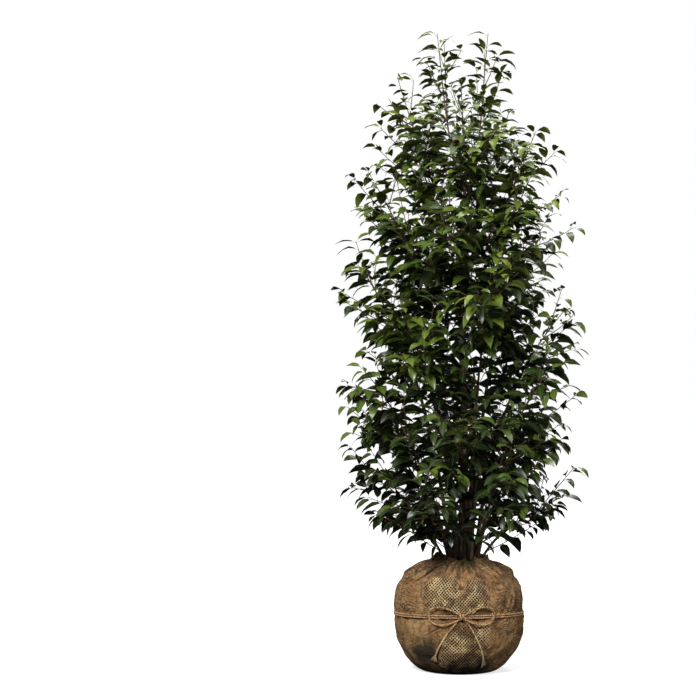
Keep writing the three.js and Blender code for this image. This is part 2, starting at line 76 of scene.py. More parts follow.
# One column for each level of the crown. Its stems stand on a ring in the ball's mouth, on the side of the
# trunk or on the trunk's tip.
LEVEL_SIZES = {
    "name": ("skirt", "low", "middle", "shoulder", "upper", "leader", "top"),
    "count": (6, 6, 6, 6, 5, 2, 1),
    "turn": (0, 27, -10, 16, -8, 0, 100),
    "drift": (12, -6, 2, 8, 12, 12, 16),
    "tilt": (0, 0, 0, 0, 34, 0, 0),
    "stagger": (44, 66, 72, 62, 46, 0, 20),
    "droop": (22, 20, 16, 12, 6, -2, -2),
    "tip_radius": (292, 322, 318, 288, 220, 76, 44),
    "tip_height": (540, 846, 1156, 1435, 1706, 1927, 1796),
    "tip_pitch": (20, 44, 50, 58, 70, 84, 84),
    "tip_reach": (120, 210, 270, 150, 160, 170, 100),
    "foot_ring": (51, 46, 36, None, None, None, None),
    "trunk_height": (None, None, None, 985, 1215, 1432, None),
    "trunk_step": (None, None, None, 27, 34, 30, None),
    "foot_pitch": (62, 76, 84, 40, 44, 62, 86),
    "foot_reach": (110, 200, 340, 130, 120, 90, 90),
    "foot_radius": (4.6, 6, 7.2, 4.6, 4.4, 4.2, 4.2),
    "bough_share": (0.36, 0.4, 0.54, 0, 0, 0, 0),
    "twigs": (4, 5, 5, 6, 5, 5, 5),
    "twig_length": (150, 185, 190, 185, 170, 120, 120),
    # What only the dressed plant has: how its twigs lift, the side shoots on each stem, how much further
    # apart the spurs stand, the size of the leaves and the darkest green a spray may take, so that the high
    # levels' sprays keep the lighter greens of painted light.
    "lift": (0.02, 0.08, 0.14, 0.2, 0.28, 0.32, 0.32),
    "side_shoots": (6, 8, 10, 9, 9, 3, 3),
    "spur_spacing": (3.1, 1.9, 1.52, 1.58, 1.65, 2.4, 1.8),
    "leaf_scale": (1, 1.07, 1.1, 1.08, 1.04, 1.04, 1),
    "least_tone": (0, 0, 0, 0, 1, 2, 2),
}
LEVELS = [Sizes(**dict(zip(LEVEL_SIZES, column))) for column in zip(*LEVEL_SIZES.values())]
LEADING_LEVELS = ("leader", "top")
SHOOT = Sizes(tip_radius=3.2, taper=0.85, azimuth_spread=10, reach_spread=0.06, seed_step=97)
CROWN = Sizes(
    axis_x=4, reach=398, neck_height=1300, top_reach=120, top_height=1960, curve=1.6,
    foot_height=262, foot_slope=0.6, leaf_top=1948,
)
# Points along the wood: few where only distances are measured, more where it grows, most in the meshes.
ROWS = Sizes(
    stem_line=7, bough_line=6, trunk_line=13, trunk_crowding=1.4,
    grown=25, twig=7, spur=5, bough=60, trunk=220,
)
# A twig of any kind is tried at its whole length and at shorter fits, at the tested places along it, and with
# room kept free past its tip.
QUARTERS = (0.25, 0.5, 0.75, 1)
TWIG = Sizes(
    first=0.03, last=0.84, place_spread=0.6, open_angle=60, open_fall=16, open_spread=12,
    tip_share=0.6, length_spread=0.3, lift=0.2, fits=(1, 0.8, 0.62, 0.48),
    tested=QUARTERS, room=0, points=ROWS.twig, first_seed=31, seed_step=89,
)
SPACE_MARGIN = 2
LIMB_CLEARANCE = 7
BALL_CLEARANCE = 12

# Finer growth, which only the dressed plant has. Side shoots stand between the solids' twigs, and a spur is a
# short leafy side twig of a stem, twig or side shoot.

SIDE_SHOOT = Sizes(
    first=0.0, last=0.82, place_spread=0.8, open_angle=56, open_fall=20, open_spread=20, hands=(-2, 1),
    length=165, length_spread=0.4, foot_share=1.1, tip_share=0.6, outward=0.3, upward=0.25, least_pull=0.2,
    lift_spread=0.06, fits=(1, 0.85, 0.7, 0.55, 0.4), tested=QUARTERS, room=0, points=ROWS.twig, overlap=24,
    reach=(0.5, 0.8), leading_reach=(0.88, 0.985), leading_length=1.25, leading_outward=0.8,
)
SPUR = Sizes(
    stem_pitch=32, twig_pitch=31, first=0.1, last=0.9, leading_last=0.5, open_angle=46, open_fall=0,
    open_spread=22, hands=None, length=88, length_spread=0.5, foot_share=1.1, tip_share=0.66, outward=0.35,
    upward=0.3, least_pull=0.3, lift_spread=0.07, fits=(1, 0.75, 0.5), tested=(0.5, 1), room=22,
    points=ROWS.spur, overlap=24, reach=(0.42, 0.76), young_share=0.6, young=(1, 0.4),
)
BOUGH_SPUR = Sizes(foot_height=500, pitch=46, overlap=400)
# Flat shoots low on the skirt's boughs, whose leaves hang over the ball's shoulder.
LOW_SHOOT = Sizes(
    heights=(356, 388), turn=34, pitch=27, pitch_spread=14, length=(150, 235), lift=0.1,
    fits=(1, 0.8, 0.62, 0.45), tested=QUARTERS, room=0, points=ROWS.twig,
    overlap=400, reach=0.9, leaf_drop=36,
)
# Radii from foot to tip, sides of the tubes and relief of the bark on them. Trunk and boughs reach a little
# deeper and further than the solids, and boughs swell at the foot.
WOOD = Sizes(
    stem_tip=0.9, twig=(1.8, 0.9), spur=(1.15, 0.75), stalk=(0.75, 0.5), trunk_sides=28, bough_sides=12,
    stem_sides=8, twig_sides=6, spur_sides=5, stalk_sides=3, ridges=0.32, swellings=0.4, bough_relief=0.5,
    stem_relief=0.3, sunk=3, past_tip=2, bough_past_tip=1.004, foot_swell=0.25, swell_share=0.05,
)
LEAF = Sizes(
    length=67, width=0.4, size_spread=(0.84, 1.14), tip_share=0.76, petiole=11, pitch=20, off_place=0.02,
    end_from=0.98, small_from=0.72, young_from=0.85, young_share=0.7,
    first=0.25, spur_first=0.2, end_gap=3, end_places=(0.985, 0.995), end_forward=0.25, forward=0.55,
    flatten=0.5, rise=0.36, droop_share=0.7, pitch_spread=20, bend=-71, bend_spread=44, lowest_tip=-88,
    roll=(5, 32), inner_roll=(16, 56), top_roll=(2, 20), twist_spread=24, fold=20, fold_spread=14,
    fan_spread=17, fan_lift=0.22, steep_from=0.86, side_spread=26, recurve=0.22, wave=0.07, waves=2.4,
    overlap=30, free_overlap=1000, ball_clearance=4, top=1966,
)
# Places along a blade and its width there.
LEAF_SHARES = np.array([0, 0.12, 0.34, 0.58, 0.8, 0.92, 1])
LEAF_WIDTHS = np.array([0, 0.58, 1, 0.93, 0.52, 0.2, 0])
RIB = Sizes(half_width=(0.62, 0.2), narrowing=0.8, above=0.22, under_drop=0.5)
# The greens of the sprays, darkest first. Which one a spray gets is painted shade and painted light: the
# darker ones for sprays deep inside and low in the crown, the lighter ones for sprays high up and at the
# outside. A young leaf at a twig's tip takes the next lighter green, its own colour.
GREENS = {
    "shade": (0.005, 0.01, 0.002),
    "deep": (0.017, 0.031, 0.004),
    "middle": (0.048, 0.079, 0.008),
    "bright": (0.079, 0.117, 0.011),
    "young": (0.122, 0.156, 0.015),
}
# The leaves' undersides: the dark one is painted shade for leaves in the two darkest greens, the light one is
# for all others.
UNDERSIDES = {"dark": (0.02, 0.034, 0.007), "light": (0.09, 0.115, 0.016)}
# The numbers of a leaf's looks: the greens, the undersides, the midrib and the stalk.
TONES = len(GREENS)
LIGHT_UNDERSIDE_FROM = 2
MIDRIB = TONES + len(UNDERSIDES)
LEAF_STALK = MIDRIB + 1
# Painted light and shade of the sprays: how much a spray's green rises with its reach towards the outline and
# with its height, its random spread, and the steps between the greens.
SPRAY_LIGHT = Sizes(outside=0.66, height=0.72, spread=0.13, steps=(0.58, 0.84, 1.1, 1.46))


class Stream:
    """The repeatable stream of numbers from 0 to 1 that the solids are grown from."""

    def __init__(self, seed):
        self.state = seed
        for _ in range(3):
            self.next()

    def next(self):
        self.state = self.state * 16807 % 2147483647
        return self.state / 2147483647


def rad(angle):
    return angle * math.pi / 180


def lerp(a, b, share):
    return a + (b - a) * share


def smooth(value, low, high):
    share = np.clip((value - low) / (high - low), 0, 1)
    return share * share * (3 - 2 * share)


def unit(vector):
    return vector / np.linalg.norm(vector, axis=-1, keepdims=True)


def polar(azimuth, pitch, length=1.0):
    """A vector from its azimuth and its pitch above the horizontal, or a row of them."""
    level = length * np.cos(pitch)
    return columns_of(level * np.cos(azimuth), level * np.sin(azimuth), length * np.sin(pitch))


def round_axis(azimuth, radius=1, height=0):
    """Points round the upright axis, or level directions."""
    return columns_of(radius * np.cos(azimuth), radius * np.sin(azimuth), height + 0 * azimuth)


def half_turn(angle):
    """The same angle from -180 to 180 degrees."""
    return (angle + 180) % 360 - 180


def spread(rng, width):
    return rng.uniform(-0.5, 0.5) * width


def bell(value, width):
    return np.exp(-((value / width) ** 2))


def columns_of(*values):
    return np.stack(values, axis=-1)


def steps_of(points):
    """Distances from point to point."""
    return np.linalg.norm(np.diff(points, axis=0), axis=1)


class Waves:
    """An uneven surface: the sum of waves of about one length that run every way through space."""

    def __init__(self, seed, length, count=14, stretch=(1, 1, 1)):
        rng = np.random.default_rng(seed)
        heading = unit(rng.normal(size=(count, 3)))
        self.vectors = heading * (TURN / length * rng.uniform(0.65, 1.45, (count, 1))) / np.array(stretch)
        self.phases = rng.uniform(0, TURN, count)
        self.scale = math.sqrt(2 / count)

    def at(self, points):
        return np.sin(points @ self.vectors.T + self.phases).sum(axis=-1) * self.scale


# Skeleton: the same trunk, boughs, stems and twigs as the solids


def trunk_rise(height):
    return (height - BALL.floor_height) / (TRUNK.tip_height - BALL.floor_height)


def trunk_axis(height):
    rise = trunk_rise(height)
    x = lerp(TRUNK.foot_x, TRUNK.tip_x, rise) + TRUNK.wander * np.sin(TRUNK.turns[0] * math.pi * rise)
    y = TRUNK.wander * np.sin(TRUNK.turns[1] * math.pi * rise)
    return columns_of(x, y, height + 0 * x)


def trunk_radius(height):
    flare = 1 + TRUNK.flare * np.exp(-(height - BALL.floor_height) / TRUNK.flare_height)
    return lerp(TRUNK.foot_radius, TRUNK.tip_radius, np.clip(trunk_rise(height), 0, 1) ** TRUNK.taper) * flare


def foot_of(level, index, azimuth):
    if level.foot_ring:
        point = polar(azimuth, 0, level.foot_ring)
        point[0] += BALL.mouth_shift
        point[2] = BALL.floor_height + JOINT_GAP
        return point
    if not level.trunk_height:
        return trunk_axis(TRUNK.tip_height) + UP * JOINT_GAP
    height = level.trunk_height + level.trunk_step * index
    return trunk_axis(height) + polar(azimuth, 0) * (trunk_radius(height) + SIDE_GAP)


def shoot_of(level, index, number):
    stream = Stream(SEED + SHOOT.seed_step * number)
    turned = level.turn + 360 * index / level.count
    azimuth = rad(turned + SHOOT.azimuth_spread * (stream.next() - 0.5))
    foot = foot_of(level, index, azimuth)
    tip = polar(azimuth, 0, level.tip_radius * (1 + SHOOT.reach_spread * (stream.next() - 0.5)))
    tip[0] += level.drift
    tip[2] = level.tip_height - level.tilt * math.cos(azimuth) + level.stagger * (1 if index % 2 else -1)
    return Sizes(
        name=f"{level.name}_{index + 1}", level=level, number=number,
        azimuth=azimuth, share=level.bough_share,
        corners=(
            foot,
            foot + polar(azimuth, rad(level.foot_pitch), level.foot_reach),
            tip - polar(azimuth, rad(level.tip_pitch), level.tip_reach),
            tip,
        ),
    )


def curve_points(shoot, shares):
    t = np.asarray(shares)[:, None]
    a, b, c, d = shoot.corners
    return (1 - t) ** 3 * a + 3 * (1 - t) ** 2 * t * b + 3 * (1 - t) * t**2 * c + t**3 * d


SHOOTS = []
for grown in LEVELS:
    for place_in_level in range(grown.count):
        SHOOTS.append(shoot_of(grown, place_in_level, len(SHOOTS)))
STEM_LINES = [curve_points(shoot, np.linspace(shoot.share, 1, ROWS.stem_line)) for shoot in SHOOTS]
TRUNK_SHARES = np.linspace(0, 1, ROWS.trunk_line) ** ROWS.trunk_crowding
TRUNK_LINE = trunk_axis(lerp(BALL.floor_height + JOINT_GAP, TRUNK.tip_height, TRUNK_SHARES))
LIMB_LINES = [(TRUNK_LINE, trunk_radius(TRUNK_LINE[0][2]))] + [
    (curve_points(shoot, np.linspace(0, shoot.share, ROWS.bough_line)), shoot.level.foot_radius)
    for shoot in SHOOTS if shoot.share
]


def ball_outline(height):
    low = 1 - np.clip(height / BALL.waist_height, 0, 1)
    inner, outer = BALL.foot_curve
    foot = lerp(BALL.foot_radius, BALL.radius, (1 - low**inner) ** outer)
    rise = np.clip((height - BALL.waist_height) / (BALL.shoulder_height - BALL.waist_height), 0, 1)
    inner, outer = BALL.shoulder_curve
    shoulder = lerp(BALL.shoulder_radius, BALL.radius, (1 - rise**inner) ** outer)
    return np.where(height < BALL.waist_height, foot, shoulder)


def distance_to_line(points, line):
    starts, spans = line[:-1], np.diff(line, axis=0)
    offset = points[:, None, :] - starts[None]
    share = np.clip((offset * spans).sum(-1) / (spans * spans).sum(-1), 0, 1)
    return np.linalg.norm(offset - share[..., None] * spans, axis=-1).min(axis=1)


def crown_reach(height):
    above = np.maximum(height - CROWN.neck_height, 0)
    rise = np.minimum(above / (CROWN.top_height - CROWN.neck_height), 1)
    return lerp(CROWN.reach, CROWN.top_reach, rise**CROWN.curve)


def in_space(number, points, overlap=-SPACE_MARGIN, ball_clearance=BALL_CLEARANCE, share=1.0, drop=0):
    """Whether each point is inside the crown's outline or a share of its reach, clear of the ball, and nearer
    to its mass's stem than to any other, or past that by less than the overlap. Drop lowers the crown's
    foot."""
    reach = np.hypot(points[:, 0] - CROWN.axis_x, points[:, 1])
    inside = (reach <= crown_reach(points[:, 2]) * share) & (points[:, 2] < CROWN.leaf_top)
    inside &= points[:, 2] >= CROWN.foot_height - drop + CROWN.foot_slope * reach
    off_ball = np.hypot(points[:, 0], points[:, 1]) - ball_clearance
    low = points[:, 2] < BALL.rim_height + ball_clearance
    inside &= ~(low & (off_ball < ball_outline(points[:, 2])))
    own = distance_to_line(points, STEM_LINES[number])
    for other, line in enumerate(STEM_LINES):
        if other != number:
            inside &= distance_to_line(points, line) > own - overlap
    return inside


def clear_of_limbs(points):
    for line, radius in LIMB_LINES:
        if (distance_to_line(points, line) <= radius + LIMB_CLEARANCE).any():
            return False
    return True


def along_row(row, share):
    place = share * (len(row) - 1)
    i = min(int(place), len(row) - 2)
    return row[i] + (row[i + 1] - row[i]) * (place - i), unit(row[i + 1] - row[i])


def across(axis, angle):
    """A direction square to an axis, at an angle round it from the level direction on its right."""
    level = np.cross(axis, UP)
    if np.linalg.norm(level) < 0.05:
        level = RIGHT
    level = unit(level)
    steep = unit(np.cross(level, axis))
    return level * math.cos(angle) + steep * math.sin(angle)


def opened(axis, turn, opening):
    """The heading of a side twig that opens from an axis, at a turn round it, both in degrees."""
    return across(axis, rad(turn)) * math.sin(rad(opening)) + axis * math.cos(rad(opening))


def arched(root, heading, length, lift, shares):
    """Points of a twig that leaves its root along a heading and lifts or droops towards its tip."""
    s = np.asarray(shares)[:, None]
    return root + heading * length * s + UP * lift * length * s * s


def fitted(shoot, root, heading, wanted, lift, rule, skip=0, **space):
    """The longest twig that has room in its mass and is clear of the limbs, in a list, or an empty list.
    The first tested places that are skipped may be close to a limb."""
    for fit in rule.fits:
        samples = arched(root, heading, wanted * fit + rule.room, lift, rule.tested)
        if in_space(shoot.number, samples, **space).all() and clear_of_limbs(samples[skip:]):
            return [arched(root, heading, wanted * fit, lift, np.linspace(0, 1, rule.points))]
    return []


def twigs_of(shoot):
    """The twigs that the solids have too."""
    stream = Stream(SEED + TWIG.first_seed + TWIG.seed_step * shoot.number)
    phase = 360 * stream.next()
    twigs = []
    for k in range(shoot.level.twigs):
        place = lerp(TWIG.first, TWIG.last, (k + TWIG.place_spread * stream.next()) / shoot.level.twigs)
        root, axis = along_row(STEM_LINES[shoot.number], place)
        opening = TWIG.open_angle - TWIG.open_fall * place + TWIG.open_spread * (stream.next() - 0.5)
        longer = 1 + TWIG.length_spread * (stream.next() - 0.5)
        wanted = shoot.level.twig_length * lerp(1, TWIG.tip_share, place) * longer
        heading = opened(axis, phase + GOLDEN_ANGLE * k, opening)
        twigs += fitted(shoot, root, heading, wanted, TWIG.lift, TWIG)
    return twigs


# Sprays: every spray is one leafy twig, and a leaf is a row of numbers

ROOT, AZIMUTH, PITCH, BEND, LENGTH, ROLL, TWIST, FOLD, TONE, PHASE = slice(0, 3), 3, 4, 5, 6, 7, 8, 9, 10, 11


def tone_of(rng, place, level):
    """The green of a spray, as its number in GREENS: painted light and shade, brighter high up and at the
    outside and darker deep inside the crown.
    """
    outside = np.hypot(place[0] - CROWN.axis_x, place[1]) / crown_reach(place[2])
    height = (place[2] - BALL.rim_height) / (CROWN.top_height - BALL.rim_height)
    light = SPRAY_LIGHT.outside * outside + SPRAY_LIGHT.height * height + rng.normal(0, SPRAY_LIGHT.spread)
    return max(int(np.digitize(light, SPRAY_LIGHT.steps)), level.least_tone)


def leaves_on(points, level, rng, first=LEAF.first, young=1, turn=None):
    """Leaves by turns on the two sides of a twig, smaller and lighter at its tip, which ends in two."""
    tone = tone_of(rng, points[-1], level)
    if turn is None:
        steep = abs(unit(points[-1] - points[0])[2]) > LEAF.steep_from
        turn = rng.uniform(0, 180) if steep else rng.normal(0, LEAF.side_spread)
    rolls = LEAF.inner_roll if tone < LIGHT_UNDERSIDE_FROM else LEAF.roll
    if level.name in LEADING_LEVELS:
        rolls = LEAF.top_roll
    length = steps_of(points).sum()
    places = np.arange(first * length, length - LEAF.end_gap, LEAF.pitch) / length
    rows = []
    for k, place in enumerate(np.append(places, LEAF.end_places)):
        root, axis = along_row(points, min(place + rng.uniform(-LEAF.off_place, LEAF.off_place), 0.999))
        out = across(axis, rad(turn + 180 * (k % 2) + rng.normal(0, LEAF.fan_spread))) + UP * LEAF.fan_lift
        heading = unit(out + axis * (LEAF.forward + (LEAF.end_forward if place > LEAF.end_from else 0)))
        azimuth = math.atan2(heading[1], heading[0])
        level_part = math.hypot(heading[0], heading[1])
        pitch = math.atan2(heading[2] * LEAF.flatten + LEAF.rise, max(level_part, 0.25))
        pitch += rad(spread(rng, LEAF.pitch_spread) - level.droop * LEAF.droop_share)
        bend = max(rad(LEAF.bend + spread(rng, LEAF.bend_spread)), rad(LEAF.lowest_tip) - pitch)
        size = level.leaf_scale * rng.uniform(*LEAF.size_spread)
        size *= lerp(1, LEAF.tip_share, smooth(place, LEAF.small_from, 1.0) * young)
        lighter = place > LEAF.young_from and rng.random() < LEAF.young_share * young
        tip_tone = min(tone + 1, TONES - 1) if lighter else tone
        rows.append(np.concatenate([root, [
            azimuth, pitch, bend, LEAF.length * size,
            rad(rng.choice((-1, 1)) * rng.uniform(*rolls)), rad(spread(rng, LEAF.twist_spread)),
            rad(LEAF.fold + spread(rng, LEAF.fold_spread)), tip_tone, rng.uniform(0, TURN),
        ]]))
    return rows


def leaf_tips(leaves):
    """Where each leaf's tip comes to, near enough."""
    middle = leaves[:, PITCH] + leaves[:, BEND] * 0.5
    return (
        leaves[:, ROOT]
        + polar(leaves[:, AZIMUTH], leaves[:, PITCH], LEAF.petiole)
        + polar(leaves[:, AZIMUTH], middle, leaves[:, LENGTH] * 0.93)
    )


def side_twig(shoot, points, place, turn, rule, rng, overlap, leading=False):
    """A spur or side shoot at a place along a stem or twig, in a list, or an empty list where it has no room.
    One that leads goes out towards the crown's outline."""
    root, axis = along_row(points, place)
    heading = opened(axis, turn, rule.open_angle - rule.open_fall * place + spread(rng, rule.open_spread))
    outwards = polar(shoot.azimuth, 0) * rule.outward * (rng.choice(rule.hands) if rule.hands else 1)
    if leading:
        outwards = unit(root - UP * root[2]) * rule.leading_outward
    heading = unit(heading + (outwards + UP * rule.upward) * rng.uniform(rule.least_pull, 1))
    reach = rng.uniform(*(rule.leading_reach if leading else rule.reach))
    wanted = rule.length * (1 + spread(rng, rule.length_spread))
    wanted *= lerp(rule.foot_share, rule.tip_share, place)
    wanted *= rule.leading_length if leading else 1
    lift = shoot.level.lift + rng.normal(0, rule.lift_spread)
    return fitted(shoot, root, heading, wanted, lift, rule, overlap=overlap, share=reach)


def spurs_on(points, pitch, last, shoot, rng, overlap=SPUR.overlap):
    """Short side twigs by turns along a stem or twig."""
    length = steps_of(points).sum()
    places = np.arange(SPUR.first * length + rng.uniform(0, pitch), last * length, pitch) / length
    turn = rng.uniform(0, 360)
    spurs = []
    for k, place in enumerate(places):
        spurs += side_twig(shoot, points, place, turn + GOLDEN_ANGLE * k, SPUR, rng, overlap)
    return spurs


def side_shoots_of(shoot, stem, rng):
    """Leafy shoots from a stem, of which every second one leads."""
    rule, number = SIDE_SHOOT, shoot.level.side_shoots
    turn = rng.uniform(0, 360)
    shoots = []
    for k in range(number):
        place = lerp(rule.first, rule.last, (k + rng.uniform(0, rule.place_spread)) / number)
        shoots += side_twig(shoot, stem, place, turn + GOLDEN_ANGLE * k, rule, rng, rule.overlap, k % 2)
    return shoots


def low_shoots_of(shoot, bough, rng):
    """Flat leafy shoots from the foot of a bough of the skirt."""
    rule = LOW_SHOOT
    space = {"overlap": rule.overlap, "share": rule.reach, "drop": rule.leaf_drop}
    shoots = []
    for k, height in enumerate(rule.heights):
        root = bough[np.abs(bough[:, 2] - height).argmin()]
        azimuth = shoot.azimuth + rad(rule.turn * (k - 0.5) * rng.uniform(0.5, 1.5))
        heading = polar(azimuth, rad(rule.pitch + spread(rng, rule.pitch_spread)))
        shoots += fitted(shoot, root, heading, rng.uniform(*rule.length), rule.lift, rule, 1, **space)
    return shoots


def grow(shoot):
    """Every twig and leaf of a mass."""
    rng = np.random.default_rng(SEED + shoot.number)
    level = shoot.level
    stem = curve_points(shoot, np.linspace(shoot.share, 1, ROWS.grown))
    twigs = twigs_of(shoot) + side_shoots_of(shoot, stem, rng)
    stem_last = SPUR.last if shoot.share else SPUR.leading_last
    spurs = spurs_on(stem, SPUR.stem_pitch * level.spur_spacing, stem_last, shoot, rng)
    for k, twig in enumerate(twigs):
        last = SPUR.leading_last if k % 2 else SPUR.last
        spurs += spurs_on(twig, SPUR.twig_pitch * level.spur_spacing, last, shoot, rng)
    low_shoots = []
    if shoot.share:
        bough = curve_points(shoot, np.linspace(0, shoot.share, ROWS.grown))
        if level.name == "skirt":
            low_shoots = low_shoots_of(shoot, bough, rng)
        bough = bough[bough[:, 2] > BOUGH_SPUR.foot_height]
        if len(bough) > 3:
            spurs += spurs_on(bough, BOUGH_SPUR.pitch, 1, shoot, rng, BOUGH_SPUR.overlap)
    leaves = leaves_on(stem, level, rng, turn=90 if level.name in LEADING_LEVELS else None)
    for row in twigs:
        leaves += leaves_on(row, level, rng)
    for row in spurs:
        young = SPUR.young[rng.random() >= SPUR.young_share]
        leaves += leaves_on(row, level, rng, LEAF.spur_first, young)
    above = len(leaves)
    for row in low_shoots:
        leaves += leaves_on(row, level, rng)
    leaves = np.array(leaves)
    hanging = np.arange(len(leaves)) >= above
    overlap = LEAF.overlap + LEAF.free_overlap * (hanging | (leaves[:, TONE] == 0))
    drop = LOW_SHOOT.leaf_drop * hanging
    keep = in_space(shoot.number, leaf_tips(leaves), overlap, LEAF.ball_clearance, drop=drop)
    keep &= leaf_frames(leaves)[0][..., 2].max(axis=1) < LEAF.top
    return Sizes(shoot=shoot, stem=stem, twigs=twigs + low_shoots, spurs=spurs, leaves=leaves[keep])


# Meshes


def placed(name, data, place=(0, 0, 0)):
    made = bpy.data.objects.new(name, data)
    made.location = place
    bpy.context.scene.collection.objects.link(made)
    return made


class Build:
    """Vertices and faces of one mesh, with a material number for each face."""

    def __init__(self):
        self.vertices, self.faces, self.materials, self.count = [], [], [], 0

    def add(self, vertices, *kinds):
        """Vertices, and for each kind of face the rows of their numbers and the material or materials."""
        for faces, material in kinds:
            self.faces.append(faces + self.count)
            self.materials.append(np.broadcast_to(material, len(faces)))
        self.vertices.append(np.asarray(vertices, float).reshape(-1, 3))
        self.count += len(self.vertices[-1])

    def piece(self, name, materials):
        mesh = bpy.data.meshes.new(name)
        vertices = np.concatenate(self.vertices) * MM
        sizes = np.concatenate([np.full(len(f), f.shape[1]) for f in self.faces])
        corners = np.concatenate([f.ravel() for f in self.faces])
        mesh.vertices.add(len(vertices))
        mesh.vertices.foreach_set("co", vertices.astype(np.float32).ravel())
        mesh.loops.add(len(corners))
        mesh.loops.foreach_set("vertex_index", corners.astype(np.int32))
        mesh.polygons.add(len(sizes))
        mesh.polygons.foreach_set("loop_start", (np.cumsum(sizes) - sizes).astype(np.int32))
        mesh.polygons.foreach_set("loop_total", sizes.astype(np.int32))
        for material in materials:
            mesh.materials.append(material)
        mesh.polygons.foreach_set("material_index", np.concatenate(self.materials).astype(np.int32))
        mesh.polygons.foreach_set("use_smooth", np.full(len(sizes), True))
        mesh.update(calc_edges=True)
        made = placed(name, mesh)
        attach(made, "root")
        return made


def grid_quads(rows, columns, closed=True):
    """Faces between rows of points, as rows of point numbers. Closed rows are rings."""
    i, k = np.meshgrid(np.arange(rows - 1), np.arange(columns - (not closed)), indexing="ij")
    a, b = i * columns + k, i * columns + (k + 1) % columns
    return columns_of(a, b, b + columns, a + columns).reshape(-1, 4)


def for_each(faces, count, size):
    """The same faces for each of many parts, which have as many points as the size says."""
    return (faces[None] + (np.arange(count) * size)[:, None, None]).reshape(-1, faces.shape[1])


def sides_along(rows):
    """Two directions square to each row of points and to each other, carried along it without twist."""
    heading = np.empty_like(rows)
    heading[:, 1:-1] = rows[:, 2:] - rows[:, :-2]
    heading[:, 0] = rows[:, 1] - rows[:, 0]
    heading[:, -1] = rows[:, -1] - rows[:, -2]
    heading = unit(heading)
    side = np.where(np.abs(heading[:, :1, 2:]) < 0.9, UP, RIGHT)[:, 0]
    sides = np.empty_like(rows)
    for i in range(rows.shape[1]):
        side = unit(side - heading[:, i] * (side * heading[:, i]).sum(-1, keepdims=True))
        sides[:, i] = side
    return sides, np.cross(heading, sides)


def tubes(build, rows, radii, sides, material, relief=None):
    """Closed tubes through rows of points, all with as many points and sides. Relief pushes them outwards."""
    rows = np.asarray(rows, float)
    count, steps = rows.shape[:2]
    radii = np.broadcast_to(np.asarray(radii, float), (count, steps))
    side, other = sides_along(rows)
    angles = TURN * np.arange(sides) / sides
    out = side[:, :, None] * np.cos(angles)[:, None] + other[:, :, None] * np.sin(angles)[:, None]
    rings = rows[:, :, None] + out * radii[..., None, None]
    if relief:
        rings = rings + out * relief(rings)[..., None]
    foot = np.arange(sides)[None]
    kinds = (grid_quads(steps, sides), foot[:, ::-1], foot + (steps - 1) * sides)
    build.add(rings, *[(for_each(faces, count, steps * sides), material) for faces in kinds])


def leaf_frames(leaves):
    """Centre line of each blade with its side and face directions, at the leaf's shares."""
    s = LEAF_SHARES
    azimuth = leaves[:, AZIMUTH, None]
    pitch = leaves[:, PITCH, None] + leaves[:, BEND, None] * (1.3 * s - 0.3 * s * s)
    forward = polar(azimuth + 0 * pitch, pitch)
    middles = unit(forward[:, 1:] + forward[:, :-1])
    steps = middles * (leaves[:, LENGTH, None] * np.diff(s))[..., None]
    start = leaves[:, ROOT] + polar(leaves[:, AZIMUTH], leaves[:, PITCH], LEAF.petiole)
    centre = np.concatenate([start[:, None], start[:, None] + np.cumsum(steps, axis=1)], axis=1)
    right = polar(azimuth - math.pi / 2 + 0 * pitch, 0 * pitch)
    face = np.cross(right, forward)
    roll = (leaves[:, ROLL, None] + leaves[:, TWIST, None] * s)[..., None]
    side = right * np.cos(roll) + face * np.sin(roll)
    return centre, side, face * np.cos(roll) - right * np.sin(roll)


def blade_points(leaves, frames, columns, drop=0.0, half_width=None):
    """Points of the blades at the leaf's shares and at columns from -1 on the left edge to 1 on the right."""
    centre, side, face = frames
    width = leaves[:, LENGTH, None] * LEAF.width / 2 * LEAF_WIDTHS if half_width is None else half_width
    fold = leaves[:, FOLD, None]
    wave = np.sin(LEAF.waves * TURN * LEAF_SHARES + leaves[:, PHASE, None])
    points = []
    for u in columns:
        out = u * width * np.cos(fold)
        rise = width * (abs(u) * np.sin(fold) - LEAF.recurve * u * u + LEAF.wave * wave * u * u)
        rise = rise - drop * (1 - abs(u))
        points.append(centre + side * out[..., None] + face * rise[..., None])
    return np.stack(points, axis=2)


def sheet_faces(rows, columns):
    """Quads and triangles of a sheet that comes to a point at its first and last row."""
    quads = grid_quads(rows - 2, columns, False) + columns
    k = np.arange(columns - 1)
    last = (rows - 2) * columns
    foot = columns_of(0 * k, columns + k + 1, columns + k)
    tip = columns_of(last + k, last + k + 1, last + columns + 0 * k)
    return quads, np.concatenate([foot, tip])


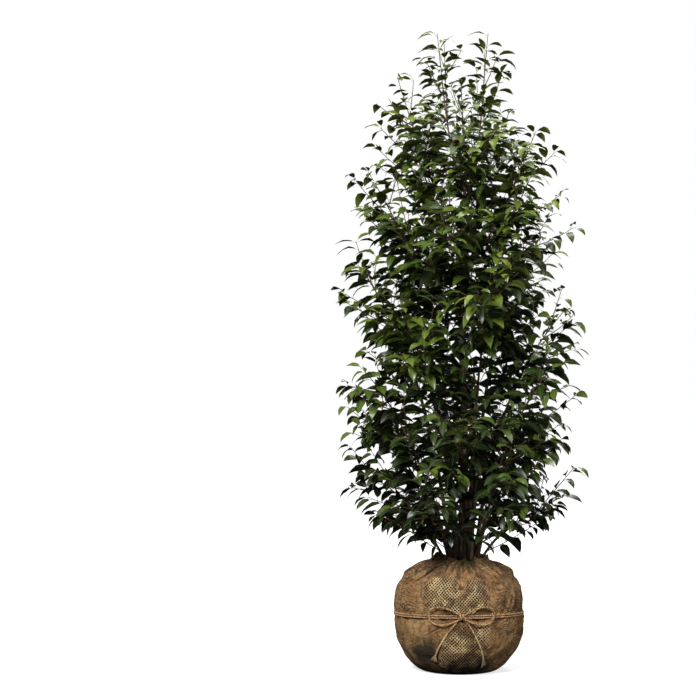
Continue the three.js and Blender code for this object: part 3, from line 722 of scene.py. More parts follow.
def add_leaves(build, leaves):
    """Blades with a pale midrib above and a dull underside, closed round the edge, and their stalks."""
    count, rows = len(leaves), len(LEAF_SHARES)
    frames = leaf_frames(leaves)
    tones = leaves[:, TONE].astype(int)
    for columns, drop, way, looks in (
        ((-1, -0.5, 0, 0.5, 1), 0, 1, tones),
        # Leaves in the two darkest greens get the dark underside: painted shade.
        ((-1, 0, 1), RIB.under_drop, -1, TONES + (tones >= LIGHT_UNDERSIDE_FROM)),
    ):
        size = rows * len(columns)
        build.add(blade_points(leaves, frames, columns, drop), *[
            (for_each(faces[:, ::way], count, size), np.repeat(looks, len(faces)))
            for faces in sheet_faces(rows, len(columns))
        ])
    half = np.broadcast_to(lerp(*RIB.half_width, LEAF_SHARES), (count, rows))
    centre, _, face = (part[:, :, None] for part in frames)
    rib = blade_points(leaves, frames, (-1, 1), 0, half)
    rib = centre + (rib - centre) * RIB.narrowing + face * RIB.above
    build.add(rib, (for_each(grid_quads(rows, 2, False), count, rows * 2), MIDRIB))
    way = polar(leaves[:, AZIMUTH], leaves[:, PITCH])
    stalk = leaves[:, None, ROOT] + way[:, None] * np.array([0, 1.06])[:, None] * LEAF.petiole
    tubes(build, stalk, WOOD.stalk, WOOD.stalk_sides, LEAF_STALK)


# Materials

BLACK = (0, 0, 0)
WHITE = (1, 1, 1)


def feed(tree, node, values):
    """Sets a node's inputs, by name or number, to values, or links them to other nodes' outputs."""
    for key, value in values.items():
        socket = node.inputs[key]
        if isinstance(value, bpy.types.NodeSocket):
            tree.links.new(value, socket)
        else:
            socket.default_value = (*value, 1) if socket.type == "RGBA" else value


def add_node(tree, kind, values, output=0, **settings):
    """An output of a new node, or several."""
    node = tree.nodes.new("ShaderNode" + kind)
    for key, value in settings.items():
        setattr(node, key, value)
    feed(tree, node, values)
    return node.outputs[output]


class Look:
    """A material and its nodes. Places are object coordinates, in metres."""

    def __init__(self, name, colour, roughness, coat=0.0, coat_roughness=0.2):
        self.material = bpy.data.materials.new(name)
        self.material.use_nodes = True
        self.tree = self.material.node_tree
        self.shade({"Base Color": colour, "Roughness": roughness})
        self.shade({"Coat Weight": coat, "Coat Roughness": coat_roughness})

    def shade(self, values):
        feed(self.tree, self.tree.nodes["Principled BSDF"], values)

    def add(self, *values, **settings):
        return add_node(self.tree, *values, **settings)

    def calc(self, operation, *values):
        return self.add("Math", dict(enumerate(values)), operation=operation)

    def place(self, values=None):
        """Object coordinates, shifted and scaled by a mapping's values."""
        place = self.add("TexCoord", {}, "Object")
        return self.add("Mapping", {"Vector": place, **values}) if values else place

    def axes(self):
        return self.add("SeparateXYZ", {0: self.place()}, slice(3))

    def noise(self, scale, detail=3.0, stretch=None):
        """Noise, scale in waves to the metre."""
        place = self.place({"Scale": stretch} if stretch else None)
        return self.add("TexNoise", {"Vector": place, "Scale": scale, "Detail": detail}, "Fac")

    def ramp(self, source, *stops):
        """Colours laid along a value, each as its place and colour."""
        node = self.tree.nodes.new("ShaderNodeValToRGB")
        elements = node.color_ramp.elements
        between = [elements.new(0.5) for _ in stops[2:]]
        for element, (place, colour) in zip([elements[0], *between, elements[-1]], stops):
            element.position = place
            element.color = (*colour, 1)
        feed(self.tree, node, {"Fac": source})
        return node.outputs["Color"]

    def mix(self, share, under, over):
        """One colour over another, by a share."""
        return self.add("Mix", {0: share, 6: under, 7: over}, 2, data_type="RGBA")

    def bump(self, height, strength, distance):
        values = {"Height": height, "Strength": strength, "Distance": distance}
        self.shade({"Normal": self.add("Bump", values, "Normal")})

    def spot(self, place, reach):
        """A share that is 1 within an uneven patch round a place and falls to 0 outside it."""
        shift = {"Location": [-p / r for p, r in zip(place, reach)], "Scale": [1 / r for r in reach]}
        length = self.add("VectorMath", {0: self.place(shift)}, "Value", operation="LENGTH")
        far = self.calc("ADD", length, self.calc("MULTIPLY_ADD", self.noise(38, 4.0), -1.1, 0.55))
        return self.add("MapRange", {"Value": far, "From Min": 1.25, "From Max": 0.75}, "Result")

    def stained(self, colour, stains, share=1):
        for place, reach, stain, strength in stains:
            colour = self.mix(self.calc("MULTIPLY", self.spot(place, reach), share * strength), colour, stain)
        return colour


def mottled(name, plain, roughness, noise, stops, bump=None, stains=()):
    """A material whose colour changes with a noise, and whose surface may rise with it."""
    look = Look(name, plain, roughness)
    grain = look.noise(*noise)
    look.shade({"Base Color": look.stained(look.ramp(grain, *stops), stains)})
    if bump:
        look.bump(grain, *bump)
    return look.material


def bark(name, dark, light, scale):
    return mottled(name, dark, 0.62, (scale, 5.0, (1, 1, 0.25)), [(0.3, dark), (0.72, light)], (0.5, 0.0012))


BARK = bark("bark", (0.022, 0.014, 0.009), (0.1, 0.058, 0.032), 160)
STEM_SKIN = bark("stem_skin", (0.024, 0.015, 0.008), (0.09, 0.05, 0.022), 200)
TWIG_SKIN = bark("twig_skin", (0.045, 0.038, 0.01), (0.12, 0.1, 0.03), 300)


def leaf_materials():
    looks = []
    for name, colour in GREENS.items():
        look = Look("leaf_" + name, colour, 0.4, 0.1, 0.25)
        look.shade({"Specular IOR Level": 0.34})
        look.bump(look.noise(260), 0.25, 0.0006)
        looks.append(look)
    for name, colour in UNDERSIDES.items():
        look = Look("leaf_underside_" + name, colour, 0.65)
        look.bump(look.noise(400), 0.3, 0.0005)
        looks.append(look)
    looks += [Look("leaf_midrib", (0.17, 0.22, 0.045), 0.45), Look("leaf_stalk", (0.17, 0.15, 0.04), 0.45)]
    return [look.material for look in looks]


CLOTH_TAN = (0.43, 0.23, 0.083)
CLOTH_DARK = (0.1, 0.05, 0.019)
CLOTH_LIGHT = (0.6, 0.37, 0.15)
# Painted shade laid in the cloth's dark wrinkle lines and ripple lines.
CLOTH_WRINKLE_SHADE = (0.035, 0.019, 0.008)
CLOTH_GAP = (0.07, 0.036, 0.015)
THREAD_COLOURS = [(0.22, 0.125, 0.052), (0.38, 0.24, 0.105), (0.62, 0.46, 0.23)]
WEAVE_PITCH = 0.0021
# Pitch, warp, scale, line, places and strength of the painted ripple shade lines.
RIPPLE_SHADE = Sizes(pitch=0.0084, warp=74, scale=13, line=(0.05, 0.46), places=(0.4, 0.56), strength=0.85)
# Dark and mossy marks of the cloth, in metres: place, reach, colour and strength. The third darkens a thin
# band along the bottom all round. The first three reach the open mesh.
STAINS = [
    ((-0.105, -0.135, 0.068), (0.038, 0.06, 0.046), (0.024, 0.018, 0.008), 0.92),
    ((0.02, -0.15, 0.026), (0.078, 0.07, 0.042), (0.012, 0.009, 0.006), 0.95),
    ((0.0, 0.0, 0.0), (0.17, 0.17, 0.012), (0.02, 0.014, 0.009), 0.85),
    ((0.15, 0.06, 0.05), (0.06, 0.09, 0.04), (0.03, 0.024, 0.01), 0.7),
    ((-0.03, 0.17, 0.04), (0.07, 0.06, 0.05), (0.028, 0.02, 0.01), 0.75),
    ((-0.16, 0.08, 0.11), (0.05, 0.06, 0.05), (0.06, 0.04, 0.018), 0.5),
    ((0.022, -0.085, 0.33), (0.026, 0.035, 0.026), (0.075, 0.13, 0.016), 0.75),
    ((-0.05, 0.07, 0.337), (0.03, 0.03, 0.02), (0.06, 0.1, 0.016), 0.6),
]
MESH_STAINS = STAINS[:3]


def weave(look):
    """Height of a plain weave of crossed threads that run round the ball and up it."""
    x, y, z = look.axes()
    azimuth = look.calc("ARCTAN2", y, x)
    wobble = look.calc("MULTIPLY_ADD", look.noise(55), 5.0, -2.5)
    around = look.calc("MULTIPLY_ADD", azimuth, round(math.pi * BALL.radius * MM / WEAVE_PITCH), wobble)
    up = look.calc("MULTIPLY_ADD", z, math.pi / WEAVE_PITCH, wobble)
    return look.calc("MULTIPLY", *[look.calc("ABSOLUTE", look.calc("SINE", way)) for way in (around, up)])


def ripple_shade_lines(look):
    """Painted shade of cockled cloth: fine dark wavy lines, one above the other, in some places only,
    standing for the shade in the troughs of its ripples.
    """
    warp = look.calc("MULTIPLY", look.noise(RIPPLE_SHADE.scale, 2.0), RIPPLE_SHADE.warp)
    phase = look.calc("MULTIPLY_ADD", look.axes()[2], TURN / RIPPLE_SHADE.pitch, warp)
    wave = look.calc("MULTIPLY_ADD", look.calc("SINE", phase), 0.5, 0.5)
    lines = look.ramp(wave, (RIPPLE_SHADE.line[0], WHITE), (RIPPLE_SHADE.line[1], BLACK))
    places = look.ramp(look.noise(17, 2.0), (RIPPLE_SHADE.places[0], BLACK), (RIPPLE_SHADE.places[1], WHITE))
    return look.calc("MULTIPLY", look.calc("MULTIPLY", lines, places), RIPPLE_SHADE.strength)


def hessian_material():
    look = Look("hessian", CLOTH_TAN, 0.95)
    colour = look.ramp(look.noise(12, 5.0), (0.3, CLOTH_DARK), (0.46, CLOTH_TAN), (0.7, CLOTH_LIGHT))
    for scale, stretch, strength in ((150, (1, 1, 0.4), 0.55), (95, (0.45, 0.45, 1.6), 0.5)):
        fibres = look.ramp(look.noise(scale, 5.0, stretch), (0.44, BLACK), (0.64, WHITE))
        colour = look.mix(look.calc("MULTIPLY", fibres, strength), colour, CLOTH_DARK)
    # Painted shade: thin dark lines where a noise crosses its middle, for the shade in wrinkles of the cloth.
    far = look.calc("ABSOLUTE", look.calc("SUBTRACT", look.noise(26, 4.0, (1, 1, 0.6)), 0.5))
    wrinkle_shade = look.ramp(far, (0.006, WHITE), (0.024, BLACK))
    colour = look.mix(look.calc("MULTIPLY", wrinkle_shade, 0.62), colour, CLOTH_WRINKLE_SHADE)
    colour = look.mix(ripple_shade_lines(look), colour, CLOTH_WRINKLE_SHADE)
    threads = weave(look)
    colour = look.mix(look.calc("MULTIPLY_ADD", threads, -0.62, 0.52), colour, CLOTH_GAP)
    look.shade({"Base Color": look.stained(colour, STAINS)})
    look.bump(look.calc("MULTIPLY_ADD", look.noise(120, 5.0), 0.8, threads), 0.7, 0.0011)
    return look.material


def ball_materials():
    """The looks of the wrap, in the order of CLOTH_LOOK and the numbers after it."""
    return [
        hessian_material(),
        mottled(
            "soil_behind_mesh", (0.05, 0.035, 0.018), 0.95, (90, 5.0),
            [(0.36, (0.008, 0.006, 0.005)), (0.56, (0.028, 0.018, 0.01)), (0.76, (0.1, 0.06, 0.03))],
            (0.6, 0.002), MESH_STAINS,
        ),
        mottled(
            "soil", (0.03, 0.02, 0.012), 0.95, (190, 6.0),
            [(0.35, (0.012, 0.008, 0.005)), (0.6, (0.045, 0.028, 0.016)), (0.75, (0.1, 0.07, 0.04))],
            (0.8, 0.003),
        ),
        # Painted shade: a plain dark look for the faces in the deepest creases and in the valleys of the
        # gathers under the collar.
        mottled(
            "crease_shadow", (0.07, 0.038, 0.016), 0.95, (120, 4.0),
            [(0.35, (0.03, 0.016, 0.007)), (0.65, (0.13, 0.07, 0.03))],
        ),
    ]


def thread_materials():
    looks = [Look(f"mesh_thread_{number}", base, 0.85) for number, base in enumerate(THREAD_COLOURS)]
    for look, base in zip(looks, THREAD_COLOURS):
        look.shade({"Base Color": look.stained(base, MESH_STAINS, 0.75)})
    return [look.material for look in looks]


def twine_materials():
    return [
        mottled(
            "twine", (0.42, 0.21, 0.085), 0.85, (260, 5.0, (1, 1, 0.6)),
            [(0.34, (0.1, 0.05, 0.02)), (0.5, (0.36, 0.195, 0.082)), (0.68, (0.64, 0.44, 0.23))],
            (0.6, 0.0006),
        ),
        mottled(
            "frayed_ends", (0.62, 0.47, 0.25), 0.8, (150, 3.0),
            [(0.35, (0.42, 0.28, 0.13)), (0.65, (0.7, 0.56, 0.32))],
        ),
    ]


# Trunk, boughs and foliage

BARK_RIDGES = Waves(11, 9, stretch=(1, 1, 5))
BARK_SWELLINGS = Waves(12, 46, stretch=(2, 2, 1))


def bark_relief(points):
    """Narrow ridges along the stem, and broader swellings where old leaves and twigs grew."""
    return WOOD.ridges * BARK_RIDGES.at(points) + WOOD.swellings * BARK_SWELLINGS.at(points)


def dress_trunk():
    build = Build()
    heights = np.linspace(BALL.floor_height - WOOD.sunk, TRUNK.tip_height + WOOD.past_tip, ROWS.trunk)
    rows, radii = trunk_axis(heights)[None], trunk_radius(heights)[None]
    tubes(build, rows, radii, WOOD.trunk_sides, 0, bark_relief)
    made = build.piece("trunk_bark", [BARK])
    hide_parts("trunk")


def bough_relief(points):
    return WOOD.bough_relief * bark_relief(points)


def dress_boughs():
    shares = np.linspace(0, 1, ROWS.bough)
    for level in LEVELS:
        grown = [shoot for shoot in SHOOTS if shoot.level is level and shoot.share]
        if not grown:
            continue
        build = Build()
        rows = np.array([curve_points(shoot, shares * shoot.share * WOOD.bough_past_tip) for shoot in grown])
        rows[:, 0, 2] -= WOOD.sunk
        radii = lerp(level.foot_radius, SHOOT.tip_radius, (shares * level.bough_share) ** SHOOT.taper)
        radii = radii * (1 + WOOD.foot_swell * np.exp(-shares / WOOD.swell_share))
        tubes(build, rows, radii, WOOD.bough_sides, 0, bough_relief)
        made = build.piece("bough_bark_" + level.name, [BARK])
        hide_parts(*["bough_" + shoot.name for shoot in grown])


def stem_relief(points):
    return WOOD.stem_relief * bark_relief(points)


def dress_foliage():
    masses = [grow(shoot) for shoot in SHOOTS]
    looks = leaf_materials()
    for level in LEVELS:
        grown = [mass for mass in masses if mass.shoot.level is level]
        wood = Build()
        for mass in grown:
            shares = np.linspace(mass.shoot.share, 1, ROWS.grown)
            radii = lerp(level.foot_radius, WOOD.stem_tip, shares**SHOOT.taper)
            tubes(wood, mass.stem[None], radii[None], WOOD.stem_sides, 0, stem_relief)
            if mass.twigs:
                tubes(wood, mass.twigs, np.linspace(*WOOD.twig, ROWS.twig), WOOD.twig_sides, 0)
            if mass.spurs:
                tubes(wood, mass.spurs, np.linspace(*WOOD.spur, ROWS.spur), WOOD.spur_sides, 1)
        wood.piece("twigs_" + level.name, [STEM_SKIN, TWIG_SKIN])
        build = Build()
        add_leaves(build, np.concatenate([mass.leaves for mass in grown]))
        made = build.piece("leaves_" + level.name, looks)
        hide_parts(*["foliage_" + mass.shoot.name for mass in grown])


# Root ball: the wrap's cloth, the gathered collar and the soil in its mouth

# Gathers' valleys deeper than valley and higher than valley_foot get painted shade.
CLOTH = Sizes(
    around=480, under=(30, 70, 100), foot_rings=8, foot_height=20, side_rings=132, mouth_height=326,
    gather_foot=252, gather_top=318, gather=6.5, gathers=(13, 29), valley=-2.2, valley_foot=288,
    pucker=2, pucker_reach=32, puckers=31, pucker_drift=2.2, pucker_twist=26, flat_foot=(4, 60),
    dent=2, crinkle=0.5, crinkle_more=1.1,
    ruffle=7, roll=15, roll_turned=-80, roll_half=26, fold=10, soil_rings=16, soil_bump=1.6, soil_rise=3,
)
# The collar from its outer to its inner foot: radius, height above the shoulder and share of the ruffle.
COLLAR = (
    (90, 2.5, 0.15), (84, 6, 0.4), (78, 9.5, 0.75), (73.5, 12, 1), (70.5, 12.5, 1), (68.5, 10.5, 0.9),
    (67.5, 6, 0.7), (66.5, 0, 0.4), (65, -5, 0.1),
)
# The wrap's looks by number; the last is painted shade in creases and valleys.
CLOTH_LOOK, OPEN_LOOK, SOIL_LOOK, CREASE_SHADE_LOOK = range(4)
# Sharp folds that run over the shoulder from the collar: (azimuth from the front and height) at each end, in
# degrees and millimetres, then depth and half width.
CREASES = [
    ((-32, 326), (-58, 264), 8, 4.5), ((-42, 326), (-84, 274), 5, 5), ((36, 328), (46, 276), 8, 4.5),
    ((-34, 314), (-40, 260), 4, 3.6), ((-40, 262), (-36, 200), 3, 3.4), ((29, 306), (28, 208), 3, 3.4),
    ((-22, 334), (-18, 300), 7, 4.5), ((-9, 334), (-12, 306), 6, 4), ((4, 334), (2, 302), 6, 4),
    ((19, 334), (22, 306), 6, 4.5), ((12, 322), (16, 296), 4, 4), ((62, 330), (84, 270), 6, 5),
    ((98, 328), (112, 262), 6, 5), ((137, 330), (130, 270), 5, 5), ((176, 330), (188, 256), 7, 5),
    ((214, 330), (206, 268), 5, 5), ((246, 330), (262, 262), 6, 5), ((282, 330), (276, 270), 5, 5),
    ((-36, 332), (-70, 258), -10, 8), ((30, 332), (54, 272), -9, 8), ((-15, 334), (-17, 298), -6, 6),
    ((8, 334), (8, 300), -5, 5), ((84, 332), (98, 270), -8, 9), ((-78, 332), (-104, 268), -8, 9),
    ((150, 332), (158, 264), -9, 9), ((-132, 332), (-146, 268), -8, 9),
    ((-20, 150), (-34, 118), 3, 4), ((30, 150), (50, 128), 3, 4), ((-64, 240), (-50, 200), 3, 5),
    ((58, 246), (50, 196), 3, 4.5), ((66, 150), (58, 96), 3, 5), ((-58, 140), (-66, 84), 3, 5),
]
# Faces of creases deeper than this, in millimetres, get the painted crease shade.
CREASE_SHADE_DEPTH = 2.8
PANEL = Sizes(middle=-5, half=33.5, edge=1.5, height=2.2, foot=(176, 196), top=(300, 262))
# Outlines of the places where the wrap is an open mesh before the soil, as (angle from the front, height).
OPEN_PATCHES = [
    [
        (-35, 205), (-38, 240), (-37.5, 270), (-32, 290), (-22, 298), (-10, 301), (-4.5, 290), (-2.4, 262),
        (-1, 246), (1.5, 262), (5, 290), (13, 297), (22, 291), (26.5, 265), (27, 225), (25, 198), (14, 190),
        (1.5, 188), (-10, 192), (-24, 197),
    ],
    [
        (-5, 163), (-11, 140), (-16, 110), (-20, 80), (-27, 46), (-22, 24), (-9, 11), (4, 9), (16, 22),
        (24, 52), (27, 90), (27.5, 135), (26, 158), (17, 166), (9, 163), (3, 160),
    ],
    [(150, 70), (146, 110), (156, 146), (172, 150), (179, 120), (176, 80), (164, 58)],
]
PATCH_EDGE = Sizes(wander=4, inset=5)
THREAD = Sizes(
    pitch=7.2, step=1.4, radius=0.95, uneven=0.25, thinnest=0.6, thickest=1.5, off_cloth=1.1, weave=0.5,
    wander=0.9, chunk=8, sides=4, lines=90, reach=460, shade_spread=0.32, shade_steps=(0.12, 0.74),
)
# Where the threads are palest, as (angle from the front, height, reach).
PALE_PLACES = [(-20, 255, 62), (3, 212, 44), (12, 258, 34), (20, 130, 30), (-4, 100, 40), (-18, 46, 24)]
BALL_DENTS = Waves(21, 62)
BALL_CRINKLES = Waves(22, 15, 18, stretch=(1.3, 1.3, 0.85))
CRINKLE_PLACES = Waves(23, 120, 8)
GATHER_DRIFT = Waves(24, 90, 8)
SOIL_BUMPS = Waves(31, 14)
THREAD_WANDER = Waves(41, 40, 8)
THREAD_SHADES = Waves(42, 30, 10)
PATCH_WAVES = Waves(43, 24, 10)


def twine_height(azimuth):
    return TWINE.height + TWINE.rise * np.cos(azimuth - FRONT)


def ball_radius(azimuth, height):
    """Radius of the cloth as the solids have it."""
    middle = np.sin(math.pi * np.minimum(height / BALL.shoulder_height, 1))
    lumps = np.sin(2 * azimuth + 0.7) + 0.7 * np.sin(3 * azimuth + height / RELIEF.lump_twist)
    gather = smooth(height, RELIEF.pleat_foot, RELIEF.pleat_top)
    pleats = gather * np.cos(RELIEF.pleats * azimuth + 0.5)
    pinch = bell(height - twine_height(azimuth), RELIEF.pinch_half)
    return ball_outline(height) + RELIEF.lump * middle * lumps + RELIEF.pleat * pleats - RELIEF.pinch * pinch


def turned_from_front(azimuth):
    """Angle round from the front, in degrees from -180 to 180, positive to the right."""
    return half_turn(np.degrees(azimuth - FRONT))


def crease_depth(azimuth, height):
    turned = turned_from_front(azimuth)
    depth = np.zeros(np.broadcast(azimuth, height).shape)
    for (turn_a, high_a), (turn_b, high_b), deepest, half in CREASES:
        share = np.clip((high_a - height) / (high_a - high_b), -0.1, 1.1)
        aside = np.radians(half_turn(turned - lerp(turn_a, turn_b, share))) * ball_outline(height)
        fade = smooth(share, 1.1, 0.55) * smooth(share, -0.1, 0.1)
        line = np.exp(-np.abs(aside / half) ** 1.5) - 0.55 * bell(np.abs(aside) - 2.1 * half, half)
        depth += deepest * fade * line
    return depth


def gathers_at(azimuth, height, points):
    """Height of the soft folds that the drawn-in cloth has under the collar."""
    drift = 0.35 * GATHER_DRIFT.at(points)
    broad = 0.6 * np.cos(CLOTH.gathers[0] * azimuth + 3 * drift + 1)
    narrow = 0.4 * np.cos(CLOTH.gathers[1] * azimuth + 2 * drift + 0.6 * np.sin(3 * azimuth))
    return CLOTH.gather * smooth(height, CLOTH.gather_foot, CLOTH.gather_top) * (broad + narrow)


def cloth_relief(azimuth, height, points):
    """What the cloth adds to the solids' surface, in millimetres outwards."""
    from_twine = height - twine_height(azimuth)
    near = np.exp(-np.abs(from_twine / CLOTH.pucker_reach) ** 1.4)
    drift = CLOTH.pucker_drift * np.sin(4 * azimuth)
    puckers = near * np.cos(CLOTH.puckers * azimuth + drift + from_twine / CLOTH.pucker_twist)
    puckers = puckers * smooth(np.abs(from_twine), 1, 9)
    rough = CLOTH.crinkle + CLOTH.crinkle_more * smooth(CRINKLE_PLACES.at(points), -0.2, 1.1)
    ridged = 0.8 - 1.6 * np.abs(np.sin(1.5 * BALL_CRINKLES.at(points)))
    edge = bell(np.abs(turned_from_front(azimuth) - PANEL.middle) - PANEL.half, PANEL.edge)
    panel = PANEL.height * edge * smooth(height, *PANEL.foot) * smooth(height, *PANEL.top)
    foot = smooth(height, *CLOTH.flat_foot)
    return (
        gathers_at(azimuth, height, points) + CLOTH.pucker * puckers - crease_depth(azimuth, height) + panel
        + foot * (CLOTH.dent * BALL_DENTS.at(points) + rough * ridged)
    )


def in_open_patch(turned, height):
    """Whether each place is inside an open patch, by how often a level line from it meets the outline."""
    inside = np.zeros(np.broadcast(turned, height).shape, bool)
    for patch in OPEN_PATCHES:
        crossings = np.zeros(inside.shape, int)
        for (turn_a, high_a), (turn_b, high_b) in zip(patch, patch[1:] + patch[:1]):
            spans = (high_a > height) != (high_b > height)
            share = (height - high_a) / (high_b - high_a) if high_a != high_b else 0
            crossings += spans & (turned < turn_a + share * (turn_b - turn_a))
        inside |= crossings % 2 == 1
    return inside


def cloth_points(azimuth, height):
    """Points of the cloth's outside below the collar."""
    level = round_axis(azimuth)
    points = level * ball_radius(azimuth, height)[..., None] + UP * height[..., None]
    return points + level * cloth_relief(azimuth, height, points)[..., None]


def collar_rows(azimuth):
    """The gathered collar from the shoulder over its ruffled edge and down inside it, as rows of points."""
    ruffle = CLOTH.ruffle * (
        0.5 * np.sin(11 * azimuth + 0.8) + 0.35 * np.sin(19 * azimuth + 2 * np.sin(2 * azimuth))
        + 0.3 * np.sin(5 * azimuth)
    )
    from_roll = half_turn(turned_from_front(azimuth) - CLOTH.roll_turned)
    roll = CLOTH.roll * bell(from_roll, CLOTH.roll_half)
    fold = CLOTH.fold * (np.abs(np.sin(12 * azimuth + 1.6 * np.sin(3 * azimuth))) - 0.6)
    rows = []
    for radius, rise, share in COLLAR:
        shift = (BALL.shoulder_radius - radius) / (BALL.shoulder_radius - BALL.rim_radius)
        row = round_axis(azimuth) * (radius + fold * share + 0.5 * roll * share)[..., None]
        row[..., 0] += BALL.mouth_shift * min(shift, 1)
        rows.append(row + UP * (BALL.shoulder_height + rise + (ruffle + roll) * share)[..., None])
    return rows


def wrap_looks(rows, heights, azimuth):
    """The look of each face between the rows, which have the given heights. The deepest creases and the
    gathers' valleys under the collar get painted shade.
    """
    foot = heights[:-1, None]
    middle, height = azimuth + math.pi / CLOTH.around, 0.5 * (foot + heights[1:, None])
    ragged = PATCH_WAVES.at(rows[:-1]) * PATCH_EDGE.wander
    looks = np.ones(ragged.shape, bool)
    for aside, above in ((-1, 0), (1, 0), (0, -1), (0, 1)):
        turned = turned_from_front(middle) + np.degrees(ragged + aside * PATCH_EDGE.inset) / BALL.radius
        looks &= in_open_patch(turned, height + ragged + above * PATCH_EDGE.inset)
    looks = np.where(looks, OPEN_LOOK, CLOTH_LOOK)
    looks[crease_depth(middle, height) > CREASE_SHADE_DEPTH] = CREASE_SHADE_LOOK
    shaded_valleys = gathers_at(azimuth, foot, rows[:-1]) < CLOTH.valley
    looks[shaded_valleys & (foot > CLOTH.valley_foot)] = CREASE_SHADE_LOOK
    return looks


def dress_ball():
    azimuth = TURN * np.arange(CLOTH.around) / CLOTH.around
    foot = np.linspace(0, 1, CLOTH.foot_rings + 1)[:-1] ** 1.6 * CLOTH.foot_height
    heights = np.concatenate([foot, np.linspace(CLOTH.foot_height, CLOTH.mouth_height, CLOTH.side_rings)])
    rows = [round_axis(azimuth, radius) for radius in CLOTH.under]
    rows += [cloth_points(azimuth, np.full(CLOTH.around, height)) for height in heights]
    rows = np.array(rows + collar_rows(azimuth))
    rows[..., 2] = np.maximum(rows[..., 2], 0)
    heights = np.concatenate([[0] * len(CLOTH.under), heights, [BALL.shoulder_height] * len(COLLAR)])
    looks = wrap_looks(rows, heights, azimuth)
    underside = np.arange(CLOTH.around)[None, ::-1]
    build = Build()
    build.add(rows, (grid_quads(len(rows), CLOTH.around), looks.ravel()), (underside, CLOTH_LOOK))
    soil_disc(build, rows[-1])
    made = build.piece("hessian_wrap", ball_materials())
    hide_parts("root_ball")


def soil_disc(build, edge):
    """Rough soil that closes the mouth, from the inner edge of the collar inwards."""
    rows = [edge]
    for share in np.linspace(0, 1, CLOTH.soil_rings)[1:-1] ** 0.8:
        ring = lerp(edge, edge.mean(axis=0), share)
        ring[:, 2] += CLOTH.soil_bump * SOIL_BUMPS.at(ring) + CLOTH.soil_rise * smooth(share, 0, 0.5)
        rows.append(ring)
    middle = np.arange(CLOTH.around)[None] + (len(rows) - 1) * CLOTH.around
    build.add(rows, (grid_quads(len(rows), CLOTH.around), SOIL_LOOK), (middle, SOIL_LOOK))


def dress_open_mesh():
    """Crossed slanting threads, over and under each other, in the open patches."""
    build = Build()
    along = np.arange(-THREAD.reach, THREAD.reach, THREAD.step)
    slant = math.sqrt(0.5)
    for hand in (-1, 1):
        pieces = []
        for line in range(-THREAD.lines, THREAD.lines + 1):
            middle = slant * line * THREAD.pitch
            turned = np.degrees((middle + hand * along * slant) / BALL.radius)
            height = middle * hand * -1 + along * slant + BALL.waist_height
            over = hand * THREAD.weave * np.cos(math.pi * (along / THREAD.pitch + line))
            points = on_cloth(FRONT + np.radians(turned), height, THREAD.off_cloth + over)
            pieces += [points[run] for run in runs_of(in_open_patch(turned, height), THREAD.chunk)]
        pieces = np.array(pieces)
        places = pieces.mean(axis=1)
        thick = THREAD.radius + THREAD.uneven * THREAD_WANDER.at(places * 1.7)
        thick = np.clip(thick, THREAD.thinnest, THREAD.thickest)
        shades = thread_shades(places)
        for shade in range(len(THREAD_COLOURS)):
            chosen = shades == shade
            tubes(build, pieces[chosen], thick[chosen, None], THREAD.sides, shade)
    made = build.piece("open_mesh_threads", thread_materials())
    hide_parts("root_ball")


def thread_shades(places):
    """The number of each length of thread's colour, paler towards the middle of the pale places."""
    turned = turned_from_front(np.arctan2(places[:, 1], places[:, 0]))
    pale = np.zeros(len(places))
    for middle, height, reach in PALE_PLACES:
        aside = np.radians(turned - middle) * BALL.radius
        pale = np.maximum(pale, 1.3 - np.hypot(aside, places[:, 2] - height) / reach)
    return np.digitize(pale + THREAD.shade_spread * THREAD_SHADES.at(places), THREAD.shade_steps)


def runs_of(inside, chunk):
    """Slices of chunk + 1 places in a row that are all inside, end to end."""
    runs, start = [], None
    for place, good in enumerate(np.append(inside, False)):
        if good and start is None:
            start = place
        if not good and start is not None:
            if place - start > chunk:
                firsts = list(range(start, place - chunk, chunk))
                if firsts[-1] + chunk + 1 < place:
                    firsts.append(place - chunk - 1)
                runs += [slice(first, first + chunk + 1) for first in firsts]
            start = None
    return runs


def on_cloth(azimuth, height, stand_off):
    """Points that stand off the dressed cloth."""
    level = round_axis(azimuth)
    wander = THREAD.wander * THREAD_WANDER.at(level * BALL.radius + UP * height[..., None])
    return cloth_points(azimuth, height + wander) + level * stand_off[..., None]


# Twine: two plies twisted round the solids' paths

PLY = Sizes(radius=1.5, offset=1.2, lay=12, steps_in_lay=9, sides=6)
FRAY = Sizes(strands=17, length=32, spread=11, radius=0.75, points=9, pale_from=0.4)
STRAND_STAND_OFF = TWINE.radius + TWINE.off_cloth
BOW_STAND_OFF = STRAND_STAND_OFF + TWINE.layer
KNOT_SIDE = TWINE.knot_half + 1
# The knot's core and turns, and the small binding to the right of the bow. A turn is its shift and slant.
KNOT = Sizes(
    stand_off=STRAND_STAND_OFF + TWINE.layer / 2 + 1, core=(8.5, 5), turn=(5.6, 7.2),
    turns=((-5.2, 1.6), (-0.6, -1.4), (4.2, 2.2)),
    binding=(TWINE.loop_reach + 9.0, 0.5, STRAND_STAND_OFF + 1.5), binding_turn=(5.4, 8.2), binding_slant=1.8,
)


def on_wrap(along, above, stand_off):
    """Points over the wrap, from how far they are round the ball from the bow and above the tied line."""
    azimuth = FRONT + along / BALL.radius
    height = twine_height(azimuth) + above
    return round_axis(azimuth, ball_radius(azimuth, height) + stand_off, height)


def strand_path(share, above):
    turn = TURN * BALL.radius
    return on_wrap(lerp(KNOT_SIDE - 6, turn - KNOT_SIDE + 6, share), above, STRAND_STAND_OFF)


